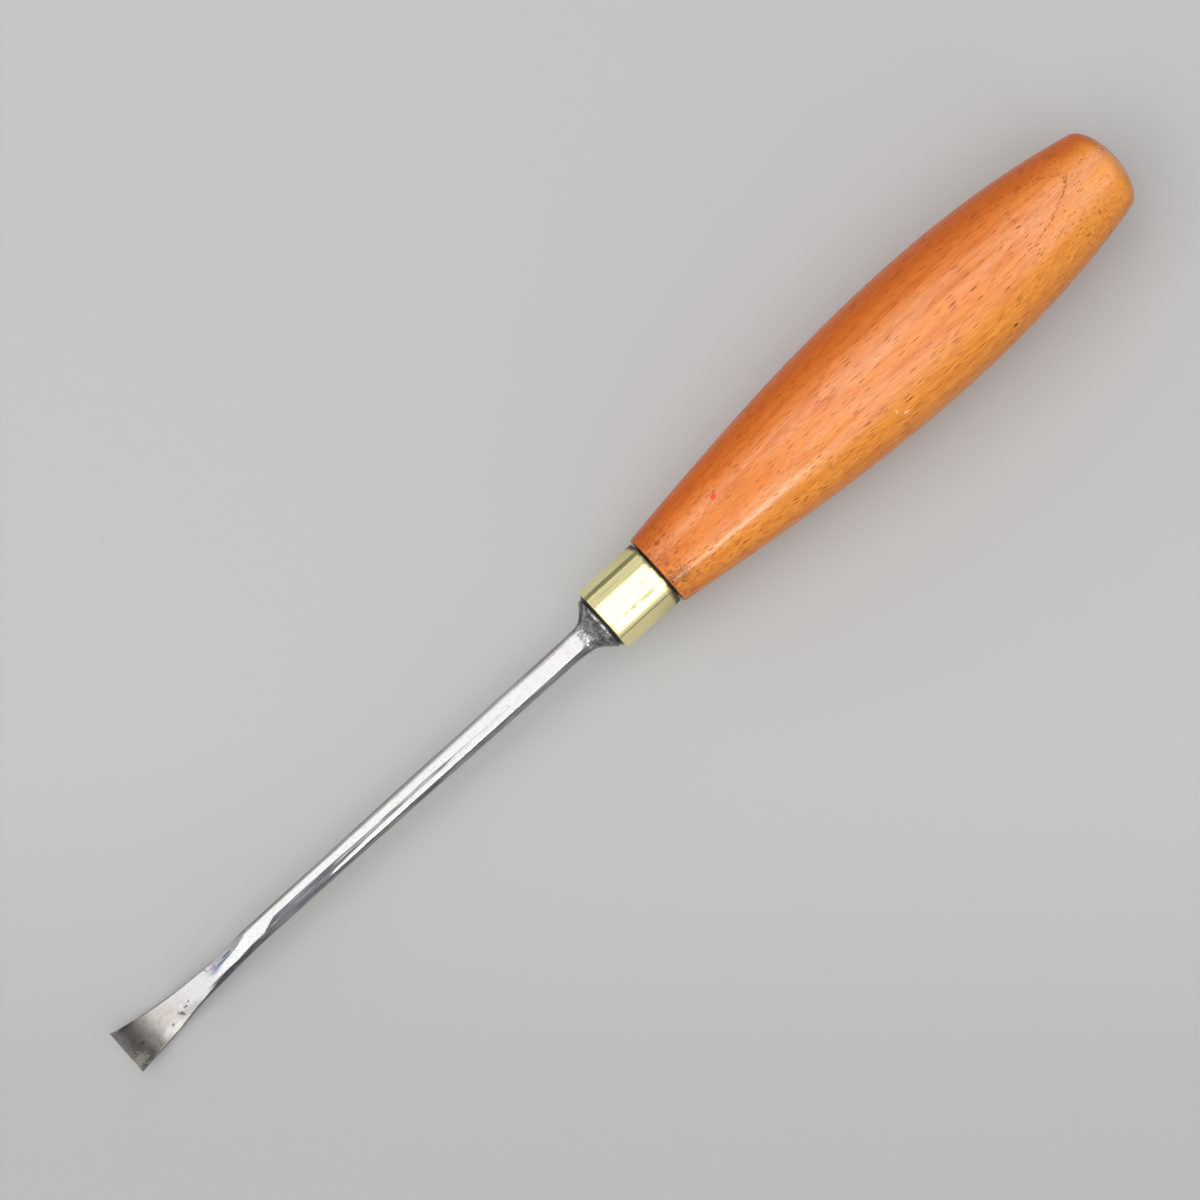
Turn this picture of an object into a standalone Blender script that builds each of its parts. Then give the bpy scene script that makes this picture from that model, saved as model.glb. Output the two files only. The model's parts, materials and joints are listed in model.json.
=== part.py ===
"""Spoon bent chisel, lying on a bench with the hollow of its spoon facing up.

A turned wooden handle carries a brass ferrule on its tenon. The blade is one steel forging: its
tang sits in the handle's socket, its bolster bears on the end of the tenon, and its square shank
runs into a spoon bend that widens to a straight cutting edge, with the bevel on the underside.

Lengths are in metres and angles in degrees. Every piece is modelled along +X, towards the edge.
"""

import math

import bmesh
import bpy
from mathutils import Matrix, Vector

# Clearance between pieces that touch
FIT_GAP = 0.0003

# Handle, measured from its shoulder back to the butt
HANDLE_LENGTH = 0.1177
SHOULDER_STEP = 0.00067  # how far the wood stands proud of the ferrule
SHOULDER_EASE = 0.0003  # broken edge of the shoulder
SHOULDER_RISE = 0.14  # slope of the swell where it leaves the shoulder
BELLY_DIAMETER = 0.0277
BELLY_PLACE = 0.069  # from the shoulder to the widest place
BUTT_DIAMETER = 0.0184  # widest place of the domed end
BUTT_DOME = 0.00435  # height of the domed end
BUTT_BLEND = 6.2  # angle on the dome where the swell runs into it
BUTT_FLAT = 0.0040  # diameter of the flat that ends the dome
TENON_PROUD = 0.00025  # tenon past the front of the ferrule
TENON_EASE = 0.0003  # broken edge of the tenon's end

# Ferrule, a short brass tube
FERRULE_DIAMETER = 0.0143
FERRULE_WALL = 0.00075
FERRULE_LENGTH = 0.0139
FERRULE_LIP = 0.0004  # rounding of the front edge
FERRULE_EASE = 0.00015  # broken rear edge

# Tang, a tapered square spike inside the handle
TANG_LENGTH = 0.048
TANG_ROOT = 0.0048  # side of the square at the bolster
TANG_POINT = 0.0022  # side of the square at the far end
TANG_CHAMFER = 0.0002
SOCKET_SPARE = 0.002  # empty depth past the end of the tang

# Bolster, the trumpet-shaped collar in front of the handle
BOLSTER_DIAMETER = 0.0116
BOLSTER_LAND = 0.0010  # straight rim
BOLSTER_EASE = 0.0002  # broken edges of the rim
BOLSTER_FLARE = 0.0038  # length of the trumpet
FLARE_POWER = 2.2  # how late the trumpet opens

# Shank, a square bar with chamfered corners
SHANK_LENGTH = 0.0816
SHANK_ROOT = 0.0045  # side of the square at the bolster
SHANK_END = 0.0040  # side of the square at the bend
SHANK_CHAMFER = 0.0008

# Spoon bend, followed along the middle of the steel
BEND_RADIUS = 0.030
NECK_WIDTH = 0.0036  # where the bend runs into the ramp
NECK_THICKNESS = 0.0033
NECK_CHAMFER = 0.0010
RAMP_ANGLE = 16.0  # slope down to the spoon
RAMP_LENGTH = 0.013
SPOON_RADIUS = 0.0168
SPOON_THICKNESS = 0.0017
SPOON_TOP_CHAMFER = 0.0002
SPOON_BACK_CHAMFER = 0.0005
EDGE_ANGLE = 36.0  # slope up at the cutting edge
EDGE_WIDTH = 0.0097
EDGE_LAND = 0.00015  # thickness left at the cutting edge
BEVEL_LENGTH = 0.0042  # ground underside behind the edge
WIDENING_POWER = 1.5  # how late the spoon widens

# Finishes, as linear colour, roughness and metallic value
WOOD_FINISH = ((0.70, 0.27, 0.075), 0.35, 0.0)
BRASS_FINISH = ((0.78, 0.58, 0.24), 0.25, 1.0)
STEEL_FINISH = ((0.42, 0.43, 0.44), 0.38, 1.0)

# Fineness of the curved surfaces
TURNED_SEGMENTS = 48
SWELL_STEPS = 12
DOME_STEPS = 8
LIP_STEPS = 4
SECTION_SIDES = 8  # four faces and four chamfers of a forged section
SIDE_STEPS = 3  # points on each of those sides
FLARE_STEPS = 8
BEND_STEPS = 8
RAMP_STEPS = 7
SPOON_STEPS = 11
BEVEL_STEPS = 4

# A chamfer or a rounding takes up no more than this share of the wall it is on
MOST_OF_WALL = 0.45
# A cutter runs past the face that it opens by this length
CUTTER_OVERRUN = 0.001
MERGE_DISTANCE = 1e-7
SMOOTH_ANGLE = math.radians(30)
# The angle at which the tool lies is found by halving a range this often
MOST_PITCH = math.radians(45)
PITCH_HALVINGS = 60

# Sizes that follow from the driving dimensions
FERRULE_RADIUS = FERRULE_DIAMETER / 2
TENON_RADIUS = FERRULE_RADIUS - FERRULE_WALL - FIT_GAP
TENON_LENGTH = FIT_GAP + FERRULE_LENGTH + TENON_PROUD
SHOULDER_RADIUS = FERRULE_RADIUS + SHOULDER_STEP
BOLSTER_PLACE = TENON_LENGTH + FIT_GAP
SHANK_PLACE = BOLSTER_LAND + BOLSTER_FLARE
BEND_PLACE = SHANK_PLACE + SHANK_LENGTH
BEND_ARC = BEND_RADIUS * math.radians(RAMP_ANGLE)
SPOON_ARC = SPOON_RADIUS * math.radians(RAMP_ANGLE + EDGE_ANGLE)


def clear_scene():
    """Removes whatever the scene holds."""
    for old in list(bpy.data.objects):
        bpy.data.objects.remove(old, do_unlink=True)


def mix(a, b, share):
    """The value that lies the given share of the way from a to b."""
    return a + (b - a) * share


def smooth(share):
    """A share from 0 to 1 that starts and ends level."""
    return share * share * (3 - 2 * share)


def hermite(start, end, start_slope, end_slope, length, share):
    """A cubic from start to end over a length, with the slopes given at both ends."""
    rise = smooth(share)
    leave = share * (1 - share) ** 2
    arrive = -(share**2) * (1 - share)
    return mix(start, end, rise) + length * (start_slope * leave + end_slope * arrive)


def material(name, colour, roughness, metallic):
    """A Principled material in one colour."""
    made = bpy.data.materials.new(name)
    made.use_nodes = True
    shader = made.node_tree.nodes["Principled BSDF"]
    shader.inputs["Base Color"].default_value = (*colour, 1.0)
    shader.inputs["Roughness"].default_value = roughness
    shader.inputs["Metallic"].default_value = metallic
    return made


def finished_object(name, bm, finish, parent, place):
    """Closes the mesh and makes it a smooth-shaded object at a place along the tool's axis."""
    bmesh.ops.remove_doubles(bm, verts=bm.verts, dist=MERGE_DISTANCE)
    bmesh.ops.recalc_face_normals(bm, faces=bm.faces)
    mesh = bpy.data.meshes.new(name)
    bm.to_mesh(mesh)
    bm.free()
    mesh.shade_smooth()
    mesh.set_sharp_from_angle(angle=SMOOTH_ANGLE)
    mesh.materials.append(finish)
    piece = bpy.data.objects.new(name, mesh)
    bpy.context.scene.collection.objects.link(piece)
    piece.parent = parent
    piece.location.x = place
    return piece


def turned_mesh(profile, closed):
    """Spins a profile of (distance along X, radius) points round X, with flats facing up and down."""
    bm = bmesh.new()
    half_segment = Matrix.Rotation(math.pi / TURNED_SEGMENTS, 4, "X")
    verts = [bm.verts.new(half_segment @ Vector((x, 0, radius))) for x, radius in profile]
    edges = [bm.edges.new(pair) for pair in zip(verts, verts[1:])]
    if closed:
        edges.append(bm.edges.new((verts[-1], verts[0])))
    bmesh.ops.spin(
        bm,
        geom=verts + edges,
        cent=(0, 0, 0),
        axis=(1, 0, 0),
        angle=2 * math.pi,
        steps=TURNED_SEGMENTS,
        use_merge=True,
    )
    return bm


def swell_profile():
    """The handle's outline from shoulder to butt, as (distance behind the shoulder, radius)."""
    dome_radius = BUTT_DIAMETER / 2
    blend = math.radians(BUTT_BLEND)
    dome_end = math.acos(BUTT_FLAT / 2 / dome_radius)
    dome_centre = HANDLE_LENGTH - BUTT_DOME * math.sin(dome_end)
    heel_place = dome_centre + BUTT_DOME * math.sin(blend)
    heel_radius = dome_radius * math.cos(blend)
    heel_slope = -math.tan(blend) * dome_radius / BUTT_DOME
    belly_radius = BELLY_DIAMETER / 2
    points = [(0, SHOULDER_RADIUS - SHOULDER_EASE)]
    for step in range(SWELL_STEPS):
        share = step / SWELL_STEPS
        place = mix(SHOULDER_EASE, BELLY_PLACE, share)
        length = BELLY_PLACE - SHOULDER_EASE
        points.append((place, hermite(SHOULDER_RADIUS, belly_radius, SHOULDER_RISE, 0, length, share)))
    for step in range(SWELL_STEPS):
        share = step / SWELL_STEPS
        place = mix(BELLY_PLACE, heel_place, share)
        length = heel_place - BELLY_PLACE
        points.append((place, hermite(belly_radius, heel_radius, 0, heel_slope, length, share)))
    for step in range(DOME_STEPS + 1):
        angle = mix(blend, dome_end, step / DOME_STEPS)
        points.append((dome_centre + BUTT_DOME * math.sin(angle), dome_radius * math.cos(angle)))
    return points


def tang_side(distance):
    """The tang's side at a distance behind the bolster."""
    return mix(TANG_ROOT, TANG_POINT, distance / TANG_LENGTH)


def socket_cutter(parent):
    """The tapered square hole for the tang, as a cutter placed at the bolster's rear face."""
    bm = bmesh.new()
    rings = []
    for distance in (-FIT_GAP - CUTTER_OVERRUN, TANG_LENGTH + SOCKET_SPARE):
        half = tang_side(distance) / 2 + FIT_GAP
        corners = ((half, half), (-half, half), (-half, -half), (half, -half))
        rings.append([bm.verts.new((-distance, y, z)) for y, z in corners])
    skin(bm, rings)
    cutter = finished_object("socket_cutter", bm, None, parent, BOLSTER_PLACE)
    cutter.hide_render = True
    cutter.display_type = "WIRE"
    return cutter


def make_handle(parent, finish):
    """The turned handle with its tenon, hollowed by the tang's socket."""
    profile = [
        (TENON_LENGTH, 0),
        (TENON_LENGTH, TENON_RADIUS - TENON_EASE),
        (TENON_LENGTH - TENON_EASE, TENON_RADIUS),
        (0, TENON_RADIUS),
    ]
    profile += [(-distance, radius) for distance, radius in swell_profile()]
    profile.append((-HANDLE_LENGTH, 0))
    handle = finished_object("handle", turned_mesh(profile, closed=False), finish, parent, 0)
    socket = handle.modifiers.new("tang_socket", "BOOLEAN")
    socket.operation = "DIFFERENCE"
    socket.solver = "EXACT"
    socket.object = socket_cutter(parent)
    return handle


def make_ferrule(parent, finish):
    """The brass tube round the tenon, with a rounded front lip."""
    bore = FERRULE_RADIUS - FERRULE_WALL
    lip = min(FERRULE_LIP, FERRULE_WALL * MOST_OF_WALL)
    ease = min(FERRULE_EASE, FERRULE_WALL * MOST_OF_WALL)
    profile = [(0, bore), (0, FERRULE_RADIUS - ease), (ease, FERRULE_RADIUS)]
    for step in range(LIP_STEPS + 1):
        angle = math.pi / 2 * step / LIP_STEPS
        along = FERRULE_LENGTH - lip + lip * math.sin(angle)
        profile.append((along, FERRULE_RADIUS - lip + lip * math.cos(angle)))
    profile.append((FERRULE_LENGTH, bore))
    return finished_object("ferrule", turned_mesh(profile, closed=True), finish, parent, FIT_GAP)


def forged_section(half_width, top, bottom, top_chamfer, bottom_chamfer):
    """A chamfered section as (sideways, upwards) points, with SIDE_STEPS points on each of its sides."""
    wall = MOST_OF_WALL * min(2 * half_width, top - bottom)
    upper = min(top_chamfer, wall)
    lower = min(bottom_chamfer, wall)
    corners = [
        (half_width, bottom + lower),
        (half_width, top - upper),
        (half_width - upper, top),
        (upper - half_width, top),
        (-half_width, top - upper),
        (-half_width, bottom + lower),
        (lower - half_width, bottom),
        (half_width - lower, bottom),
    ]
    points = []
    for (y0, z0), (y1, z1) in zip(corners, corners[1:] + corners[:1]):
        for step in range(SIDE_STEPS):
            share = step / SIDE_STEPS
            points.append((mix(y0, y1, share), mix(z0, z1, share)))
    return points


def square_section(side, chamfer):
    """A square section with chamfered corners, centred on the axis."""
    half = side / 2
    return forged_section(half, half, -half, chamfer, chamfer)


def round_section(radius):
    """A round section with its points beside those of a forged section."""
    count = SECTION_SIDES * SIDE_STEPS
    first = -math.pi / SECTION_SIDES
    angles = [first + 2 * math.pi * index / count for index in range(count)]
    return [(radius * math.cos(angle), radius * math.sin(angle)) for angle in angles]


def blended_section(first, second, share):
    """A section between two others, point by point."""
    return [(mix(a, c, share), mix(b, d, share)) for (a, b), (c, d) in zip(first, second)]


def spoon_path(distance):
    """The point (x, z) and the slope of the steel's middle line, at a distance past the bend's start."""
    ramp = math.radians(RAMP_ANGLE)
    bend_end = Vector((BEND_RADIUS * math.sin(ramp), -BEND_RADIUS * (1 - math.cos(ramp))))
    down = Vector((math.cos(ramp), -math.sin(ramp)))
    if distance <= BEND_ARC:
        angle = distance / BEND_RADIUS
        point = Vector((BEND_RADIUS * math.sin(angle), -BEND_RADIUS * (1 - math.cos(angle))))
        return point, -angle
    if distance <= BEND_ARC + RAMP_LENGTH:
        return bend_end + down * (distance - BEND_ARC), -ramp
    slope = (distance - BEND_ARC - RAMP_LENGTH) / SPOON_RADIUS - ramp
    centre = bend_end + down * RAMP_LENGTH + SPOON_RADIUS * Vector((math.sin(ramp), math.cos(ramp)))
    return centre + SPOON_RADIUS * Vector((math.sin(slope), -math.cos(slope))), slope


def spoon_section(distance):
    """The forged section at a distance past the bend's start: it thins, widens and ends in the bevel."""
    if distance <= BEND_ARC:
        share = smooth(distance / BEND_ARC)
        width = mix(SHANK_END, NECK_WIDTH, share)
        thickness = mix(SHANK_END, NECK_THICKNESS, share)
        chamfer = mix(SHANK_CHAMFER, NECK_CHAMFER, share)
        return forged_section(width / 2, thickness / 2, -thickness / 2, chamfer, chamfer)
    past = distance - BEND_ARC
    length = RAMP_LENGTH + SPOON_ARC
    width = mix(NECK_WIDTH, EDGE_WIDTH, (past / length) ** WIDENING_POWER)
    share = min(past / RAMP_LENGTH, 1.0)
    thickness = mix(NECK_THICKNESS, SPOON_THICKNESS, share)
    top_chamfer = mix(NECK_CHAMFER, SPOON_TOP_CHAMFER, share)
    back_chamfer = mix(NECK_CHAMFER, SPOON_BACK_CHAMFER, share)
    top = thickness / 2
    ground = max(0.0, 1 - (length - past) / BEVEL_LENGTH)
    bottom = mix(-top, top - EDGE_LAND, ground)
    return forged_section(width / 2, top, bottom, top_chamfer, back_chamfer)


def spoon_stations():
    """Distances past the bend's start where the spoon has a section."""
    ramp_end = BEND_ARC + RAMP_LENGTH
    edge = ramp_end + SPOON_ARC
    stations = [BEND_ARC * step / BEND_STEPS for step in range(1, BEND_STEPS)]
    stations += [BEND_ARC + RAMP_LENGTH * step / RAMP_STEPS for step in range(RAMP_STEPS)]
    stations += [mix(ramp_end, edge - BEVEL_LENGTH, step / SPOON_STEPS) for step in range(SPOON_STEPS)]
    stations += [mix(edge - BEVEL_LENGTH, edge, step / BEVEL_STEPS) for step in range(BEVEL_STEPS + 1)]
    return stations


def skin(bm, rings):
    """Joins rings of equally many points into a closed skin with a face at each end."""
    for near, far in zip(rings, rings[1:]):
        for index in range(len(near)):
            after = (index + 1) % len(near)
            bm.faces.new((near[index], near[after], far[after], far[index]))
    bm.faces.new(rings[0])
    bm.faces.new(reversed(rings[-1]))


def make_blade(parent, finish):
    """The one-piece blade: tang, bolster, shank, bend and spoon, from the far end of the tang to the edge."""
    bm = bmesh.new()
    rings = []

    def straight(x, section):
        """Adds a section square to the axis."""
        rings.append([bm.verts.new((x, y, z)) for y, z in section])

    rim = BOLSTER_DIAMETER / 2
    shank_root = square_section(SHANK_ROOT, SHANK_CHAMFER)
    straight(-TANG_LENGTH, square_section(TANG_POINT, TANG_CHAMFER))
    straight(0, square_section(TANG_ROOT, TANG_CHAMFER))
    straight(0, round_section(rim - BOLSTER_EASE))
    straight(BOLSTER_EASE, round_section(rim))
    straight(BOLSTER_LAND, round_section(rim))
    for step in range(1, FLARE_STEPS):
        share = 1 - step / FLARE_STEPS
        radius = mix(SHANK_ROOT / 2, rim, share**FLARE_POWER)
        grown = [(y * 2 * radius / SHANK_ROOT, z * 2 * radius / SHANK_ROOT) for y, z in shank_root]
        straight(SHANK_PLACE - BOLSTER_FLARE * share, blended_section(grown, round_section(radius), share))
    straight(SHANK_PLACE, shank_root)
    straight(BEND_PLACE, square_section(SHANK_END, SHANK_CHAMFER))
    for distance in spoon_stations():
        middle, slope = spoon_path(distance)
        ring = []
        for y, up in spoon_section(distance):
            x = BEND_PLACE + middle.x - up * math.sin(slope)
            ring.append(bm.verts.new((x, y, middle.y + up * math.cos(slope))))
        rings.append(ring)
    skin(bm, rings)
    return finished_object("blade", bm, finish, parent, BOLSTER_PLACE)


def outline_from_side(pieces):
    """Each piece's points as (x, z) along the tool's axis."""
    return [[(piece.location.x + vert.co.x, vert.co.z) for vert in piece.data.vertices] for piece in pieces]


def lay_on_bench(tool, handle, ferrule, blade):
    """Tips the tool until belly and spoon touch the bench, then centres it over the origin."""
    handle_points, ferrule_points, blade_points = outline_from_side((handle, ferrule, blade))

    def lowest(points, pitch):
        """The lowest height of the points with the edge tipped down by an angle."""
        return min(z * math.cos(pitch) - x * math.sin(pitch) for x, z in points)

    low = 0.0
    high = MOST_PITCH
    for _ in range(PITCH_HALVINGS):
        pitch = (low + high) / 2
        if lowest(handle_points, pitch) < lowest(blade_points, pitch):
            low = pitch
        else:
            high = pitch
    points = handle_points + ferrule_points + blade_points
    across = [x * math.cos(pitch) + z * math.sin(pitch) for x, z in points]
    tool.rotation_euler.y = pitch
    tool.location = (-(min(across) + max(across)) / 2, 0, -lowest(points, pitch))


def main():
    """Builds the three pieces on the tool's axis and lays the tool down."""
    clear_scene()
    tool = bpy.data.objects.new("tool_axis", None)
    bpy.context.scene.collection.objects.link(tool)
    handle = make_handle(tool, material("varnished_beech", *WOOD_FINISH))
    ferrule = make_ferrule(tool, material("brass", *BRASS_FINISH))
    blade = make_blade(tool, material("forged_steel", *STEEL_FINISH))
    lay_on_bench(tool, handle, ferrule, blade)


main()
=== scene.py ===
"""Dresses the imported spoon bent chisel: a turned beech handle, a drawn brass ferrule, a forged blade.

Sizes are in millimetres on the tool's own axes: x runs from the handle's shoulder to the cutting
edge, z rises out of the spoon's hollow, and y points to the near side, the one that the camera sees.
The finished meshes are in metres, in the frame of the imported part.
"""

import json
import logging
import math
from dataclasses import astuple, dataclass, replace
from enum import Enum
from typing import Any, ClassVar

import bmesh
import bpy
from mathutils import Matrix, Vector, noise


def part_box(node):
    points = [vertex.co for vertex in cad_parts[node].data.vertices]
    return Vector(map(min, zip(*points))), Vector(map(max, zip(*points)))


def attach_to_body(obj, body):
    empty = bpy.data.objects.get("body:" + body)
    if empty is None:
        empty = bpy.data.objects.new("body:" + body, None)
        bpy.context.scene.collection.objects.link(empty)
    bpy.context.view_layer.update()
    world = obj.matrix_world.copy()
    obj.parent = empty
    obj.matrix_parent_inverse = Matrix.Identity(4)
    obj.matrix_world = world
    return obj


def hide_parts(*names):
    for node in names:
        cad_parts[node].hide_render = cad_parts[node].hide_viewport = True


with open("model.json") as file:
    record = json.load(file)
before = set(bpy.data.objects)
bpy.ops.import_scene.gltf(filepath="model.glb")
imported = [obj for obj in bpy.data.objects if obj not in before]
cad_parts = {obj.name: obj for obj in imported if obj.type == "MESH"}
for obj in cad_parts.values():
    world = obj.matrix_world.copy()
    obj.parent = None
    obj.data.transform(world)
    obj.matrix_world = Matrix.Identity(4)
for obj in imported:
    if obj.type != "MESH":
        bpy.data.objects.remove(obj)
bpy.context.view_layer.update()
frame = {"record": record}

LOG = logging.getLogger("spoon_bent_chisel")
BODY = "root"
MM = 0.001
MERGE_DISTANCE = 1e-7
SHARP_ANGLE = math.radians(48)
# Where the hidden facets of a flat top lie, as shares of the way to its near edge.
ROUGH_SHARE = 0.6
RIDGE_SHARE = 0.2

Colour = tuple[float, float, float]
Place = tuple[float, float, float]
Point = tuple[float, float]
Socket = bpy.types.NodeSocket
# The settings of one of Grain's masks, in the order of the method's arguments.
Pattern = tuple[float, ...]
# A facet's size before it opens and when it is open, and what is added where it is broad.
Facet = tuple[float, float, float]
# The two ends of a range and, where these aren't 0 and 1, the values that they are carried over to.
Range = tuple[float, ...]


def mix(first: float, second: float, share: float) -> float:
    """The value that lies the given share of the way from first to second."""
    return first + (second - first) * share


def smooth(share: float) -> float:
    """A share, held between 0 and 1, that starts and ends level."""
    held = min(max(share, 0.0), 1.0)
    return held * held * (3 - 2 * held)


def rise(low: float, high: float, value: float) -> float:
    """How far value has come from low to high, from 0 to 1, level at both ends."""
    return smooth((value - low) / (high - low))


def hermite(start: float, end: float, slopes: Point, length: float, share: float) -> float:
    """A cubic over a length with given slopes at both ends.

    Args:
        start: Value at the start.
        end: Value at the end.
        slopes: Slope at the start and at the end.
        length: Length that the cubic spans.
        share: Share of that length, from 0 to 1.

    Returns:
        The cubic's value there.
    """
    leave = share * (1 - share) ** 2
    arrive = -(share**2) * (1 - share)
    return mix(start, end, smooth(share)) + length * (slopes[0] * leave + slopes[1] * arrive)


def put_in_scene(name: str, data: bpy.types.ID) -> bpy.types.Object:
    """Makes an object of a mesh, lamp or camera and links it to the scene."""
    made = bpy.data.objects.new(name, data)
    bpy.context.scene.collection.objects.link(made)
    return made


@dataclass(frozen=True)
class Fade:
    """A value that passes from first to last between two places, level at both."""

    first: float
    last: float
    start: float
    end: float

    def at(self, place: float) -> float:
        """The value at a place."""
        return mix(self.first, self.last, rise(self.start, self.end, place))


@dataclass(frozen=True)
class ToolFrame:
    """Where the tool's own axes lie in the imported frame."""

    origin: Vector
    pitch: float

    @classmethod
    def from_butt(cls, record: dict, handle_length: float) -> "ToolFrame":
        """Reads the tool's axis from the mount on the butt.

        Args:
            record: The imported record.
            handle_length: Distance from the butt to the shoulder in millimetres.

        Returns:
            The frame whose origin is on the axis at the shoulder.
        """
        butt = next(mount for mount in record["mounts"] if mount["name"] == "butt_face")
        forward = -Vector(butt["axis"])
        origin = Vector(butt["pos_m"]) + forward * handle_length * MM
        return cls(origin, math.atan2(-forward.z, forward.x))

    def matrix(self) -> Matrix:
        """The step from the tool's millimetres to the frame's metres."""
        turn = Matrix.Rotation(self.pitch, 4, "Y")
        return Matrix.Translation(self.origin) @ turn @ Matrix.Scale(MM, 4)


class Wiring:
    """Adds nodes to one tree and joins them."""

    def __init__(self, tree: bpy.types.NodeTree) -> None:
        """Keeps the tree that the nodes go into."""
        self.tree = tree

    def add(self, kind: str, values: dict | None = None, **settings: Any) -> bpy.types.Node:
        """Adds a node.

        Args:
            kind: Blender's name of the node type.
            values: For input sockets, by name or place, a value or the output that feeds them.
            settings: The node's own properties.

        Returns:
            The new node.
        """
        node = self.tree.nodes.new(kind)
        for name, value in settings.items():
            setattr(node, name, value)
        for key, value in (values or {}).items():
            if isinstance(value, Socket):
                self.tree.links.new(value, node.inputs[key])
            else:
                node.inputs[key].default_value = value
        return node

    def math(self, operation: str, first: Any, second: Any = 0.0, third: Any = 0.0) -> Socket:
        """One step of arithmetic on two numbers, or three."""
        values = {0: first, 1: second, 2: third}
        return self.add("ShaderNodeMath", values, operation=operation).outputs[0]

    def times(self, first: Any, *others: Any) -> Socket:
        """The product of two numbers or more."""
        for other in others:
            first = self.math("MULTIPLY", first, other)
        return first

    def joined(self, x: Any, y: Any, z: Any) -> Socket:
        """Three numbers as one vector."""
        return self.add("ShaderNodeCombineXYZ", {0: x, 1: y, 2: z}).outputs[0]

    def vector(self, operation: str, first: Any, second: Any) -> Socket:
        """One step of arithmetic on two vectors, giving a vector."""
        return self.add("ShaderNodeVectorMath", {0: first, 1: second}, operation=operation).outputs[0]

    def measure(self, operation: str, first: Any, second: Any = (0, 0, 0)) -> Socket:
        """A number measured on vectors, such as a length or a dot product."""
        return self.add("ShaderNodeVectorMath", {0: first, 1: second}, operation=operation).outputs[1]

    def span(self, value: Any, low: Any, high: Any, start: Any = 0.0, end: Any = 1.0) -> Socket:
        """Carries a value between low and high over to start and end, level at both."""
        values = {"Value": value, "From Min": low, "From Max": high, "To Min": start, "To Max": end}
        made = self.add("ShaderNodeMapRange", values, interpolation_type="SMOOTHSTEP")
        return made.outputs["Result"]

    def blend(self, share: Any, first: Any, second: Any) -> Socket:
        """A colour between two others."""
        colours = [(*side, 1.0) if isinstance(side, tuple) else side for side in (first, second)]
        values = {0: share, 6: colours[0], 7: colours[1]}
        return self.add("ShaderNodeMix", values, data_type="RGBA").outputs[2]

    def noise(self, place: Any, scale: float, detail: float = 2.0) -> Socket:
        """Soft noise from 0 to 1."""
        values = {"Vector": place, "Scale": scale, "Detail": detail}
        return self.add("ShaderNodeTexNoise", values).outputs[0]

    def bump(self, height: Socket, strength: float, depth: float) -> Socket:
        """The normal of a relief that is so many millimetres deep."""
        values = {"Strength": strength, "Distance": depth * MM, "Height": height}
        return self.add("ShaderNodeBump", values).outputs[0]

    def attribute(self, name: str) -> Socket:
        """A number that the mesh carries."""
        return self.add("ShaderNodeAttribute", attribute_name=name).outputs["Fac"]

    def effect(self, group: bpy.types.NodeTree, values: dict) -> Socket:
        """Places a shared node group and returns its mask."""
        return self.add("ShaderNodeGroup", values, node_tree=group).outputs["Mask"]

    def tool_place(self, tool: ToolFrame) -> Socket:
        """Object coordinates turned into millimetres on the tool's axes.

        Args:
            tool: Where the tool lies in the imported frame.

        Returns:
            The place as a vector.
        """
        back = Matrix.Rotation(-tool.pitch, 3, "Y")
        values = {
            "Vector": self.add("ShaderNodeTexCoord").outputs["Object"],
            "Location": -(back @ tool.origin) / MM,
            "Rotation": (0, -tool.pitch, 0),
            "Scale": (1 / MM,) * 3,
        }
        return self.add("ShaderNodeMapping", values).outputs[0]


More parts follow.
